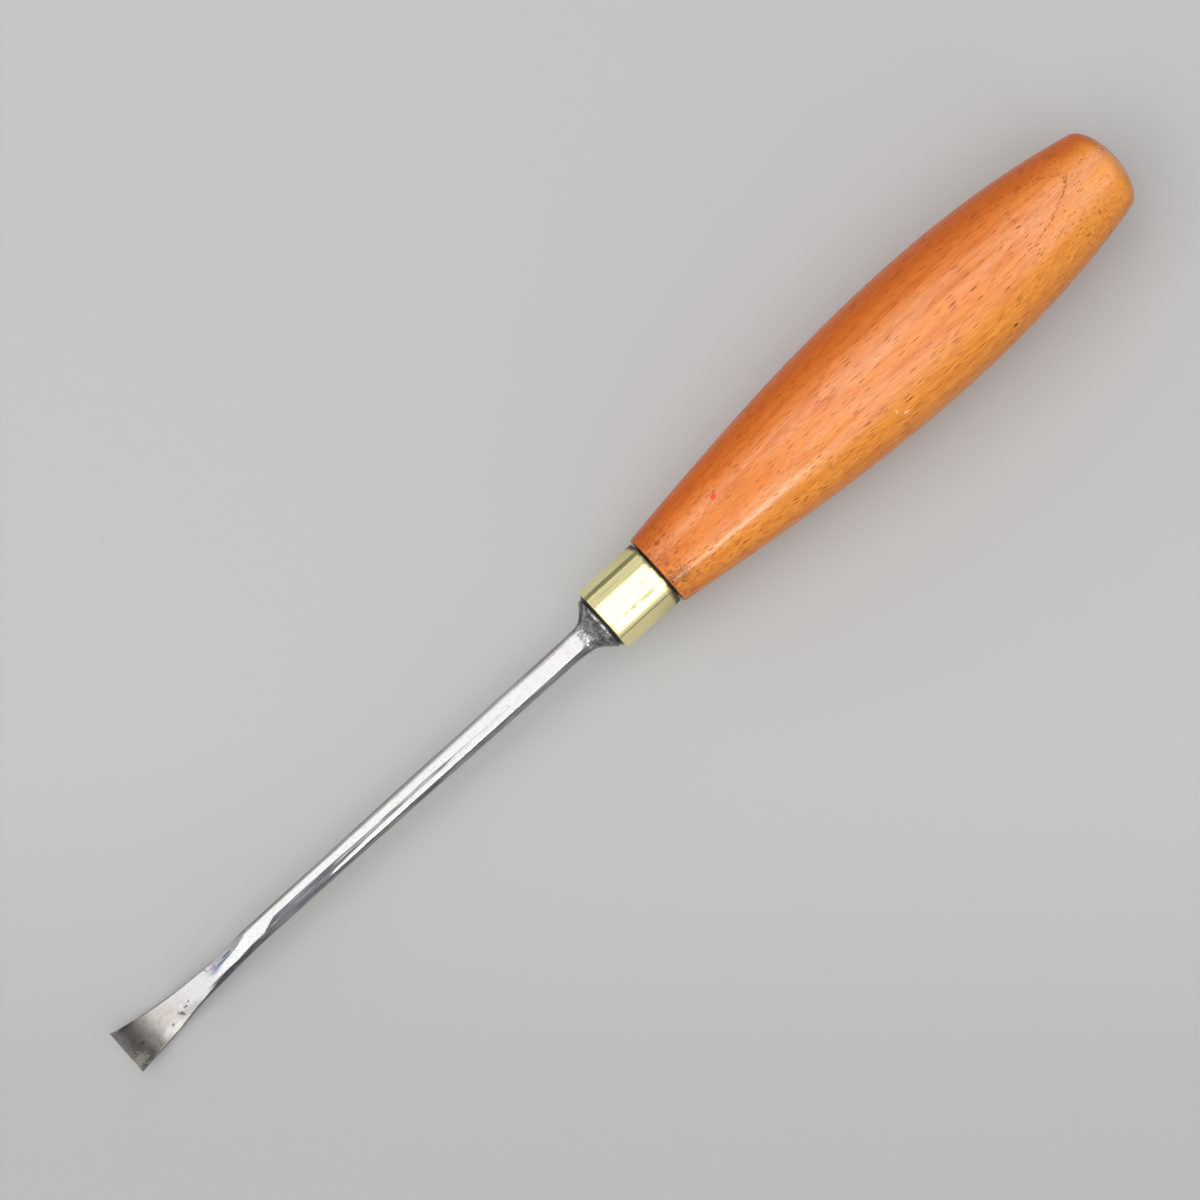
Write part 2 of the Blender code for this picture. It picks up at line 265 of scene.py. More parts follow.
class Effects:
    """Shader node groups that more than one finish uses, each putting out one mask."""

    faintest_dash: ClassVar[float] = 0.2
    rough_detail: ClassVar[float] = 3.0
    edge_scale: ClassVar[float] = 2.6
    full_share: ClassVar[float] = 0.45

    def __init__(self) -> None:
        """Builds every group once."""
        self.streaks = self.streak_group()
        self.dashes = self.dash_group()
        self.specks = self.speck_group()
        self.blot = self.blot_group()

    @staticmethod
    def start(name: str, numbers: list[str], vectors: list[str]) -> tuple[Wiring, dict[str, Socket]]:
        """Opens a node group.

        Args:
            name: Name of the group.
            numbers: Names of its number inputs.
            vectors: Names of its vector inputs.

        Returns:
            The wiring of the group and its inputs by name.
        """
        tree = bpy.data.node_groups.new(name, "ShaderNodeTree")
        for label in vectors:
            tree.interface.new_socket(name=label, in_out="INPUT", socket_type="NodeSocketVector")
        for label in numbers:
            tree.interface.new_socket(name=label, in_out="INPUT", socket_type="NodeSocketFloat")
        tree.interface.new_socket(name="Mask", in_out="OUTPUT", socket_type="NodeSocketFloat")
        wiring = Wiring(tree)
        entry = wiring.add("NodeGroupInput")
        return wiring, {label: entry.outputs[label] for label in vectors + numbers}

    @staticmethod
    def close(wiring: Wiring, mask: Socket) -> bpy.types.NodeTree:
        """Ends a group in its mask."""
        wiring.add("NodeGroupOutput", {"Mask": mask})
        return wiring.tree

    @staticmethod
    def drawn_out(wiring: Wiring, entry: dict[str, Socket]) -> Socket:
        """The place counted in cells of the group's width, so many times as long as wide."""
        length = wiring.times(entry["Width"], entry["Stretch"])
        cell = wiring.joined(length, entry["Width"], entry["Width"])
        return wiring.vector("DIVIDE", entry["Place"], cell)

    def streak_group(self) -> bpy.types.NodeTree:
        """Streaks drawn out along the tool, as in grain, brushing and drawn tube."""
        numbers = ["Width", "Stretch", "Start", "End"]
        wiring, entry = self.start("streaks_along_the_tool", numbers, ["Place"])
        drawn = self.drawn_out(wiring, entry)
        return self.close(wiring, wiring.span(wiring.noise(drawn, 1.0), entry["Start"], entry["End"]))

    def dash_group(self) -> bpy.types.NodeTree:
        """Short separate dashes along the tool, some fainter than others, as pores and rust leave."""
        numbers = ["Width", "Stretch", "Full", "Gone"]
        wiring, entry = self.start("dashes_along_the_tool", numbers, ["Place"])
        values = {"Vector": self.drawn_out(wiring, entry), "Scale": 1.0}
        cells = wiring.add("ShaderNodeTexVoronoi", values).outputs
        chance = wiring.add("ShaderNodeSeparateColor", {0: cells["Color"]}).outputs[0]
        strength = wiring.span(chance, 0.0, 1.0, self.faintest_dash, 1.0)
        dash = wiring.span(cells["Distance"], entry["Gone"], entry["Full"])
        return self.close(wiring, wiring.times(dash, strength))

    def speck_group(self) -> bpy.types.NodeTree:
        """Irregular specks of one size."""
        wiring, entry = self.start("specks", ["Size", "Start", "End"], ["Place"])
        cell = wiring.joined(entry["Size"], entry["Size"], entry["Size"])
        sized = wiring.vector("DIVIDE", entry["Place"], cell)
        soft = wiring.noise(sized, 1.0, self.rough_detail)
        return self.close(wiring, wiring.span(soft, entry["Start"], entry["End"]))

    def blot_group(self) -> bpy.types.NodeTree:
        """One blot with a ragged edge."""
        wiring, entry = self.start("ragged_blot", ["Ragged"], ["Place", "Centre", "Reach"])
        away = wiring.vector("SUBTRACT", entry["Place"], entry["Centre"])
        share = wiring.measure("LENGTH", wiring.vector("DIVIDE", away, entry["Reach"]))
        soft = wiring.noise(entry["Place"], self.edge_scale, self.rough_detail)
        bite = wiring.times(wiring.math("SUBTRACT", soft, 0.5), entry["Ragged"])
        return self.close(wiring, wiring.span(wiring.math("ADD", share, bite), 1.0, self.full_share))


@dataclass(frozen=True)
class Mark:
    """A stain, scratch or bruise on a surface, as a blot in the tool's millimetres."""

    centre: Place
    reach: Place
    colour: Colour
    strength: float = 1.0
    ragged: float = 0.8

    def over(self, wiring: Wiring, effects: Effects, place: Socket, below: Socket) -> Socket:
        """Lays the mark over a colour.

        Args:
            wiring: The material's wiring.
            effects: The shared groups.
            place: The tool place.
            below: The colour under the mark.

        Returns:
            The marked colour.
        """
        values = {"Place": place, "Centre": self.centre, "Reach": self.reach, "Ragged": self.ragged}
        mask = wiring.times(wiring.effect(effects.blot, values), self.strength)
        return wiring.blend(mask, below, self.colour)


def new_material(name: str) -> tuple[bpy.types.Material, Wiring, bpy.types.Node]:
    """Makes an empty Principled material.

    Args:
        name: The finish's name.

    Returns:
        The material, its wiring and its shader.
    """
    material = bpy.data.materials.new(name)
    material.use_nodes = True
    wiring = Wiring(material.node_tree)
    return material, wiring, material.node_tree.nodes["Principled BSDF"]


class Grain:
    """The shared masks laid over one place on the tool's axes."""

    def __init__(self, wiring: Wiring, effects: Effects, place: Socket) -> None:
        """Keeps the wiring, the groups and the place, and splits the place into its axes."""
        self.wiring = wiring
        self.effects = effects
        self.place = place
        self.axes = wiring.add("ShaderNodeSeparateXYZ", {0: place}).outputs

    def streaks(self, width: float, stretch: float, start: float, end: float) -> Socket:
        """Streaks along the tool, of a width and so many times as long, in millimetres."""
        values = {"Place": self.place, "Width": width, "Stretch": stretch, "Start": start, "End": end}
        return self.wiring.effect(self.effects.streaks, values)

    def dashes(self, width: float, stretch: float, full: float, gone: float) -> Socket:
        """Dashes along the tool, one to a cell of a width and so many times as long, in millimetres."""
        values = {"Place": self.place, "Width": width, "Stretch": stretch, "Full": full, "Gone": gone}
        return self.wiring.effect(self.effects.dashes, values)

    def specks(self, size: float, start: float, end: float) -> Socket:
        """Specks of a size in millimetres."""
        values = {"Place": self.place, "Size": size, "Start": start, "End": end}
        return self.wiring.effect(self.effects.specks, values)

    def tinted(self, colour: Any, tints: list[tuple[Socket, Colour]]) -> Socket:
        """Lays tints over a colour, one after the other, each through its mask."""
        for mask, tint in tints:
            colour = self.wiring.blend(mask, colour, tint)
        return colour

    def marked(self, colour: Socket, marks: list[Mark]) -> Socket:
        """Lays marks over a colour, one after the other."""
        for mark in marks:
            colour = mark.over(self.wiring, self.effects, self.place, colour)
        return colour


class Finish:
    """A finish of the tool, whose colour, roughness and normal come from nodes on the tool's axes."""

    name: ClassVar[str]
    even_sockets: ClassVar[dict[str, float]]

    def layers(self, grain: Grain, marks: list[Mark]) -> tuple[Socket, Socket, Socket]:
        """Makes what changes over the surface.

        Args:
            grain: The shared masks on the tool's axes.
            marks: Stains, scratches and pits to lay over the finish.

        Returns:
            The colour, the roughness and the normal.
        """
        raise NotImplementedError

    def material(self, tool: ToolFrame, effects: Effects, marks: list[Mark]) -> bpy.types.Material:
        """Builds the finish.

        Args:
            tool: Where the tool lies.
            effects: The shared groups.
            marks: Stains, scratches and pits to lay over the finish.

        Returns:
            The material.
        """
        material, wiring, shader = new_material(self.name)
        grain = Grain(wiring, effects, wiring.tool_place(tool))
        for socket, output in zip(("Base Color", "Roughness", "Normal"), self.layers(grain, marks)):
            wiring.tree.links.new(output, shader.inputs[socket])
        for socket, value in self.even_sockets.items():
            shader.inputs[socket].default_value = value
        return material


@dataclass(frozen=True)
class StainedBeech(Finish):
    """Orange-stained beech under a thin varnish that lets the pores show.

    Fades run along the tool. Leans run from the far side, at -1, over the top to the near side, at 1.
    Some tints are painted light and shade: a pink sheen over the top, shade down the far side and the
    near edge, light on the butt, and shade in the gap at the tenon's end.
    """

    name: ClassVar[str] = "stained_beech"
    even_sockets: ClassVar[dict[str, float]] = {"IOR": 1.28}
    amber: Colour = (0.81, 0.275, 0.066)
    golden: Colour = (0.755, 0.287, 0.044)
    # Darker red down the far side: partly stain tone, partly painted shade.
    russet_and_far_shade: Colour = (0.63, 0.128, 0.003)
    # pale lightens the butt: painted light where the lamps reach it less.
    pale: Colour = (0.95, 0.380, 0.080)
    # Pink patches over the top of the grip: partly wood colour, partly a painted sheen.
    pink_and_sheen: Colour = (0.82, 0.355, 0.178)
    front: Colour = (0.70, 0.19, 0.015)
    streak: Colour = (0.52, 0.088, 0.003)
    late_wood: Colour = (0.30, 0.050, 0.012)
    fleck: Colour = (0.22, 0.032, 0.000)
    # brown darkens the grip's near edge: painted shade.
    brown: Colour = (0.42, 0.135, 0.012)
    soil: Colour = (0.26, 0.060, 0.016)
    # Nearly black: grime and painted shade on the tenon's end, in the gap between ferrule and bolster.
    grime_and_gap_shade: Colour = (0.018, 0.013, 0.010)
    patches: Pattern = (4.5, 7.0, 0.36, 0.60)
    bands: Pattern = (1.1, 24.0, 0.42, 0.74)
    fibres: Pattern = (0.25, 13.0, 0.32, 0.68)
    pores: Pattern = (0.33, 14.0, 0.10, 0.36)
    crowds: Pattern = (5.0, 0.32, 0.62)
    smears: Pattern = (1.2, 0.3, 0.7)
    breaks: Pattern = (0.5, 0.44, 0.62)
    patch_depth: Range = (0.0, 1.0, 0.35, 1.0)
    crowd_depth: Range = (0.0, 1.0, 0.45, 1.0)
    smear_depth: float = 0.6
    shade_depth: float = 0.1
    butt_light_fade: Range = (-84.0, -112.0)
    calm_fade: Range = (-84.0, -112.0, 1.0, 0.45)
    figure_fade: Range = (-80.0, -98.0, 0.15, 0.85)
    front_fade: Range = (-42.0, -20.0, 0.0, 0.75)
    varnish_fade: Range = (-20.0, -42.0, 0.16, 0.27)
    soiled_fade: Range = (-16.0, -0.25, 1.0, 1.6)
    smear_fade: Range = (-9.0, 0.0)
    end_fade: Range = (-116.5, -117.6, 0.0, 0.6)
    grime_and_gap_shade_fade: Range = (-0.25, 0.0)
    top_lean: float = 0.1
    top_sheen_lean: Range = (0.65, 0.1, 0.0, 0.8)
    front_lean: Range = (0.32, 0.12)
    golden_lean: Range = (0.1, 0.7)
    near_edge_shade_lean: Range = (0.80, 1.0, 0.0, 0.55)
    far_shade_lean: Range = (-0.06, -0.81)
    band_lean: Range = (0.3, -0.6, 0.3, 0.55)
    fibre_lean: Range = (0.3, 0.9, 0.2, 0.38)
    fleck_lean: Range = (0.3, 0.9, 1.0, 1.9)
    below_lift: Range = (-0.15, -0.7, 0.0, 0.75)
    least_girth: float = 7.6
    across_rings: Place = (-0.0345, -0.181, 0.983)
    ring_width: float = 2.9
    ring_end: float = 14.5
    ring_wander: float = 1.0
    wander_scale: Place = (0.022, 0.12, 0.12)
    top_ring: Point = (0.75, 0.5)
    edge_phase: Range = (1.0, 0.985)
    line_phase: Range = (0.925, 0.975)
    shade_phase: Range = (0.45, 0.97)
    pore_roughness: float = 0.38
    fibre_relief: float = -0.3
    pore_relief: float = -0.9
    relief_strength: float = 0.4
    relief_depth: float = 0.03

    def rings(self, wiring: Wiring, place: Socket) -> tuple[Socket, Socket]:
        """Growth rings, which lie along the handle and come to the surface in long curves.

        Args:
            wiring: The material's wiring.
            place: The tool place.

        Returns:
            The mask of the thin dark line that ends the top ring, and that of the shade before
            each ring's end.
        """
        drawn = wiring.vector("MULTIPLY", place, self.wander_scale)
        bend = wiring.math("SUBTRACT", wiring.noise(drawn, 1.0), 0.5)
        plain = wiring.measure("DOT_PRODUCT", place, self.across_rings)
        height = wiring.math("MULTIPLY_ADD", bend, self.ring_wander, plain)
        count = wiring.math("DIVIDE", wiring.math("SUBTRACT", height, self.ring_end), self.ring_width)
        phase = wiring.math("FRACT", count)
        edge = wiring.span(phase, *self.edge_phase)
        low, high = (self.ring_end - share * self.ring_width for share in self.top_ring)
        line = wiring.times(wiring.span(phase, *self.line_phase), edge, wiring.span(height, low, high))
        shade = wiring.times(wiring.span(phase, *self.shade_phase), edge)
        return line, shade

    def layers(self, grain: Grain, marks: list[Mark]) -> tuple[Socket, Socket, Socket]:
        """Lays stain, grain, soil, marks and grime over each other.

        Args:
            grain: The shared masks on the tool's axes.
            marks: Stains and bruises to lay over the wood.

        Returns:
            The colour, the roughness and the normal.
        """
        wiring = grain.wiring
        along, aside, up = grain.axes
        girth = wiring.measure("LENGTH", wiring.vector("MULTIPLY", grain.place, (0.0, 1.0, 1.0)))
        girth = wiring.math("MAXIMUM", girth, self.least_girth)
        lean = wiring.math("DIVIDE", aside, girth)
        lift = wiring.math("DIVIDE", up, girth)
        sideways = wiring.math("ABSOLUTE", lean)
        off_top = wiring.math("ABSOLUTE", wiring.math("SUBTRACT", lean, self.top_lean))
        line, shade = self.rings(wiring, grain.place)
        calm = wiring.span(along, *self.calm_fade)
        patches = wiring.span(grain.streaks(*self.patches), *self.patch_depth)
        in_front = wiring.span(along, *self.front_fade)
        bands = wiring.times(grain.streaks(*self.bands), wiring.span(lean, *self.band_lean), calm)
        fibre = grain.streaks(*self.fibres)
        smears = wiring.times(grain.specks(*self.smears), wiring.span(along, *self.smear_fade))
        figure = wiring.times(line, grain.specks(*self.breaks), wiring.span(along, *self.figure_fade))
        crowd = wiring.span(grain.specks(*self.crowds), *self.crowd_depth)
        flecks = wiring.times(grain.dashes(*self.pores), crowd, wiring.span(along, *self.soiled_fade))
        flecks = wiring.times(flecks, wiring.span(sideways, *self.fleck_lean))
        tints = [
            # Painted light: the butt turns paler.
            (wiring.span(along, *self.butt_light_fade), self.pale),
            (wiring.span(lean, *self.golden_lean), self.golden),
            # Painted sheen: pink patches laid over the top of the grip, partly wood colour.
            (wiring.times(patches, wiring.span(off_top, *self.top_sheen_lean)), self.pink_and_sheen),
            (wiring.times(in_front, wiring.span(off_top, *self.front_lean)), self.front),
            # Darker red down the far side: partly stain tone, partly painted shade.
            (wiring.span(lean, *self.far_shade_lean), self.russet_and_far_shade),
            # Painted shade: brown along the near edge.
            (wiring.span(lean, *self.near_edge_shade_lean), self.brown),
            (wiring.span(lift, *self.below_lift), self.amber),
            (wiring.times(shade, calm, self.shade_depth), self.streak),
            (bands, self.streak),
            (wiring.times(fibre, wiring.span(sideways, *self.fibre_lean)), self.late_wood),
            (wiring.times(smears, self.smear_depth), self.soil),
            (figure, self.late_wood),
            (flecks, self.fleck),
            (wiring.span(along, *self.end_fade), self.late_wood),
        ]
        colour = grain.marked(grain.tinted(self.amber, tints), marks)
        # Painted shade with grime: the tenon's end turns nearly black, so the gap at the ferrule reads
        # dark.
        colour = wiring.blend(wiring.span(along, *self.grime_and_gap_shade_fade), colour, self.grime_and_gap_shade)
        varnish = wiring.span(along, *self.varnish_fade)
        rough = wiring.span(flecks, 0.0, 1.0, varnish, self.pore_roughness)
        pore_relief = wiring.times(flecks, self.pore_relief)
        relief = wiring.math("MULTIPLY_ADD", fibre, self.fibre_relief, pore_relief)
        return colour, rough, wiring.bump(relief, self.relief_strength, self.relief_depth)


@dataclass(frozen=True)
class TarnishedBrass(Finish):
    """Drawn brass tube, worn bright, with brown tarnish left at the rear edge and painted shade on its
    sides towards that edge.
    """

    name: ClassVar[str] = "tarnished_brass"
    even_sockets: ClassVar[dict[str, float]] = {"Metallic": 1.0}
    bright: Colour = (0.99, 0.90, 0.48)
    # dull colours the drawn lines and is also the painted shade on the sides.
    dull: Colour = (0.66, 0.55, 0.24)
    tarnish: Colour = (0.10, 0.065, 0.025)
    draw_lines: Pattern = (0.16, 60.0, 0.40, 0.75)
    clouds: Pattern = (1.3, 0.2, 0.8)
    side_reach: float = 7.4
    side_power: float = 4.0
    cloud_reach: float = 0.7
    tarnish_fade: Range = (0.95, 0.0, 0.0, 0.95)
    side_shade_fade: Range = (9.0, 0.5)
    line_depth: float = 0.22
    wear: Range = (0.0, 1.0, 0.14, 0.24)
    tarnish_roughness: float = 0.5
    relief_strength: float = 0.12
    relief_depth: float = 0.01

    def layers(self, grain: Grain, marks: list[Mark]) -> tuple[Socket, Socket, Socket]:
        """Lays wear, tarnish and marks over each other.

        Args:
            grain: The shared masks on the tool's axes.
            marks: Scratches to lay over the brass.

        Returns:
            The colour, the roughness and the normal.
        """
        wiring = grain.wiring
        along, aside, _ = grain.axes
        lines = grain.streaks(*self.draw_lines)
        share = wiring.math("DIVIDE", wiring.math("ABSOLUTE", aside), self.side_reach)
        wide = wiring.math("POWER", share, self.side_power)
        ragged = wiring.math("MULTIPLY_ADD", grain.specks(*self.clouds), self.cloud_reach, wide)
        stained = wiring.span(wiring.math("SUBTRACT", along, ragged), *self.tarnish_fade)
        # Painted shade: shaded darkens the sides towards the rear edge, and worn lays it into the dull
        # colour together with the drawn lines.
        shaded = wiring.times(wide, wiring.span(along, *self.side_shade_fade))
        worn = wiring.math("MULTIPLY_ADD", lines, self.line_depth, shaded)
        colour = grain.tinted(self.bright, [(worn, self.dull), (stained, self.tarnish)])
        rubbed = wiring.span(lines, *self.wear)
        rough = wiring.math("MAXIMUM", rubbed, wiring.times(stained, self.tarnish_roughness))
        normal = wiring.bump(lines, self.relief_strength, self.relief_depth)
        return grain.marked(colour, marks), rough, normal


@dataclass(frozen=True)
class ForgedSteel(Finish):
    """Forged steel, ground bright where the blade's polish is high and scaled where it is low."""

    name: ClassVar[str] = "forged_steel"
    even_sockets: ClassVar[dict[str, float]] = {"Metallic": 1.0}
    ground: Colour = (0.48, 0.475, 0.47)
    pitted: Colour = (0.16, 0.158, 0.16)
    scale: Colour = (0.090, 0.091, 0.104)
    hammered: Pattern = (0.16, 12.0, 0.28, 0.72)
    drawn: Pattern = (0.16, 44.0, 0.28, 0.72)
    grit: Pattern = (0.15, 0.42, 0.72)
    pits: Pattern = (0.24, 4.0, 0.12, 0.42)
    brush_lines: Pattern = (0.14, 26.0, 0.3, 0.7)
    clouds: Pattern = (1.1, 0.40, 0.75)
    drawn_fade: Range = (18.0, 22.0)
    cloud_fade: Range = (119.0, 126.0, 0.0, 0.30)
    mottle_depth: float = 0.65
    scale_polish: Range = (0.80, 0.10)
    pit_depth: Range = (0.0, 1.0, 0.45, 0.12)
    grit_depth: float = 0.15
    brush_depth: float = 0.26
    wear: Range = (0.0, 1.0, 0.22, 0.30)
    scale_roughness: float = 0.38
    pit_relief: float = -0.4
    relief_strength: float = 0.25
    relief_depth: float = 0.03

    def layers(self, grain: Grain, marks: list[Mark]) -> tuple[Socket, Socket, Socket]:
        """Lays pitting, scale, marks, brushing and clouds over each other.

        Args:
            grain: The shared masks on the tool's axes.
            marks: Rust, heat colours and pits to lay over the steel.

        Returns:
            The colour, the roughness and the normal.
        """
        wiring = grain.wiring
        along = grain.axes[0]
        polish = wiring.attribute("polish")
        brushed = wiring.attribute("brushed")
        hammered = grain.streaks(*self.hammered)
        mottle = wiring.span(along, *self.drawn_fade, hammered, grain.streaks(*self.drawn))
        uneven = wiring.math("SUBTRACT", mottle, 0.5)
        bare = wiring.math("MULTIPLY_ADD", uneven, self.mottle_depth, polish)
        scaled = wiring.span(bare, *self.scale_polish)
        pits = grain.dashes(*self.pits)
        rubbed = wiring.times(grain.streaks(*self.brush_lines), brushed)
        clouds = wiring.times(grain.specks(*self.clouds), wiring.span(along, *self.cloud_fade))
        under_marks = [
            (wiring.times(pits, wiring.span(brushed, *self.pit_depth)), self.pitted),
            (wiring.times(grain.specks(*self.grit), self.grit_depth), self.pitted),
            (scaled, self.scale),
        ]
        over_marks = [(wiring.times(rubbed, self.brush_depth), self.pitted), (clouds, self.pitted)]
        colour = grain.marked(grain.tinted(self.ground, under_marks), marks)
        worn = wiring.span(brushed, *self.wear)
        rough = wiring.span(scaled, 0.0, 1.0, worn, self.scale_roughness)
        rusted = wiring.math("MULTIPLY_ADD", mottle, scaled, rubbed)
        relief = wiring.math("MULTIPLY_ADD", pits, self.pit_relief, rusted)
        normal = wiring.bump(relief, self.relief_strength, self.relief_depth)
        return grain.tinted(colour, over_marks), rough, normal


def finish_mesh(mesh: bpy.types.Mesh, tool: ToolFrame) -> None:
    """Closes a mesh, points its faces outwards, shades it and puts it in its place in the frame.

    Args:
        mesh: The mesh in the tool's millimetres.
        tool: Where the tool lies.
    """
    bm = bmesh.new()
    bm.from_mesh(mesh)
    bmesh.ops.transform(bm, matrix=tool.matrix(), verts=bm.verts)
    bmesh.ops.remove_doubles(bm, verts=bm.verts, dist=MERGE_DISTANCE)
    bmesh.ops.recalc_face_normals(bm, faces=bm.faces)
    bm.to_mesh(mesh)
    bm.free()
    mesh.shade_smooth()
    mesh.set_sharp_from_angle(angle=SHARP_ANGLE)


def attach(piece: bpy.types.Object, node: str) -> None:
    """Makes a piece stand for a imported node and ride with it.

    Args:
        piece: The finished piece.
        node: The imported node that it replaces.
    """
    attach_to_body(piece, BODY)
    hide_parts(node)
    LOG.info("%s: %d faces, replaces %s", piece.name, len(piece.data.polygons), node)


class Lathe:
    """A Geometry Nodes tree that spins a profile, given as a chain of points, round the tool's axis."""

    seam: ClassVar[float] = 1e-4
    swing_scale: ClassVar[float] = 0.05

    def __init__(self) -> None:
        """Builds the tree."""
        self.tree = bpy.data.node_groups.new("turned_on_a_lathe", "GeometryNodeTree")
        self.sockets = {}
        kinds = {
            "Profile": "NodeSocketGeometry",
            "Segments": "NodeSocketInt",
            "Out of round": "NodeSocketFloat",
            "Finish": "NodeSocketMaterial",
        }
        for label, kind in kinds.items():
            made = self.tree.interface.new_socket(name=label, in_out="INPUT", socket_type=kind)
            self.sockets[label] = made.identifier
        self.tree.interface.new_socket(name="Turned", in_out="OUTPUT", socket_type="NodeSocketGeometry")
        self.wire()

    def wire(self) -> None:
        """Joins the tree's nodes."""
        wiring = Wiring(self.tree)
        entry = wiring.add("NodeGroupInput").outputs
        rows = wiring.add("GeometryNodeAttributeDomainSize", {"Geometry": entry["Profile"]})
        columns = wiring.math("ADD", entry["Segments"], 1.0)
        values = {"Vertices X": rows.outputs["Point Count"], "Vertices Y": columns}
        grid = wiring.add("GeometryNodeMeshGrid", values)
        index = wiring.add("GeometryNodeInputIndex").outputs[0]
        row = wiring.math("FLOOR", wiring.math("DIVIDE", wiring.math("ADD", index, 0.5), columns))
        column = wiring.math("SUBTRACT", index, wiring.times(row, columns))
        where = wiring.add("GeometryNodeInputPosition").outputs[0]
        values = {"Geometry": entry["Profile"], "Value": where, "Index": row}
        sample = wiring.add("GeometryNodeSampleIndex", values, data_type="FLOAT_VECTOR", domain="POINT")
        profile = wiring.add("ShaderNodeSeparateXYZ", {0: sample.outputs[0]}).outputs
        share = wiring.math("DIVIDE", column, entry["Segments"])
        angle = wiring.times(wiring.math("FRACT", share), 2 * math.pi)
        side = wiring.math("COSINE", angle)
        up = wiring.math("SINE", angle)
        drawn = wiring.joined(wiring.times(profile[0], self.swing_scale), side, up)
        swing = wiring.times(wiring.noise(drawn, 1.0), entry["Out of round"])
        radius = wiring.times(profile[1], wiring.math("SUBTRACT", 1.0, swing))
        spun = wiring.joined(profile[0], wiring.times(radius, side), wiring.times(radius, up))
        steps = {
            "GeometryNodeSetPosition": {"Position": spun},
            "GeometryNodeMergeByDistance": {"Distance": self.seam},
            "GeometryNodeRealizeInstances": {},
            "GeometryNodeSetMaterial": {"Material": entry["Finish"]},
        }
        turned = grid.outputs["Mesh"]
        for kind, values in steps.items():
            turned = wiring.add(kind, {"Geometry": turned, **values}).outputs[0]
        wiring.add("NodeGroupOutput", {"Turned": turned})

    def turn(self, name: str, profile: list[Point], settings: dict, tool: ToolFrame) -> bpy.types.Object:
        """Turns one piece.

        Args:
            name: Name of the piece.
            profile: Points (along the axis, radius) in order.
            settings: Values of the tree's inputs by name.
            tool: Where the tool lies.

        Returns:
            The piece as a plain mesh in its place.
        """
        chain = bpy.data.meshes.new(name + "_profile")
        links = [(index, index + 1) for index in range(len(profile) - 1)]
        chain.from_pydata([(along, radius, 0.0) for along, radius in profile], links, [])
        piece = put_in_scene(name, chain)
        modifier = piece.modifiers.new("lathe", "NODES")
        modifier.node_group = self.tree
        for label, value in settings.items():
            modifier[self.sockets[label]] = value
        depsgraph = bpy.context.evaluated_depsgraph_get()
        mesh = bpy.data.meshes.new_from_object(piece.evaluated_get(depsgraph), depsgraph=depsgraph)
        piece.modifiers.remove(modifier)
        piece.data = mesh
        mesh.name = name
        bpy.data.meshes.remove(chain)
        finish_mesh(mesh, tool)
        return piece


class Turned:
    """A piece made on the lathe."""

    name: ClassVar[str]
    node: ClassVar[str]
    slot: ClassVar[str]
    finish: ClassVar[Finish]
    segments: int
    out_of_round: float

    def profile(self) -> list[Point]:
        """The outline, as points (along the axis, radius)."""
        raise NotImplementedError

    def marks(self) -> list[Mark]:
        """The marks of use."""
        raise NotImplementedError

    def build(self, lathe: Lathe, tool: ToolFrame, effects: Effects) -> None:
        """Turns the piece and dresses it.

        Args:
            lathe: The turning tree.
            tool: Where the tool lies.
            effects: The shared groups.
        """
        settings = {
            "Segments": self.segments,
            "Out of round": self.out_of_round,
            "Finish": self.finish.material(tool, effects, self.marks()),
        }
        attach(lathe.turn(self.name, self.profile(), settings, tool), self.node)


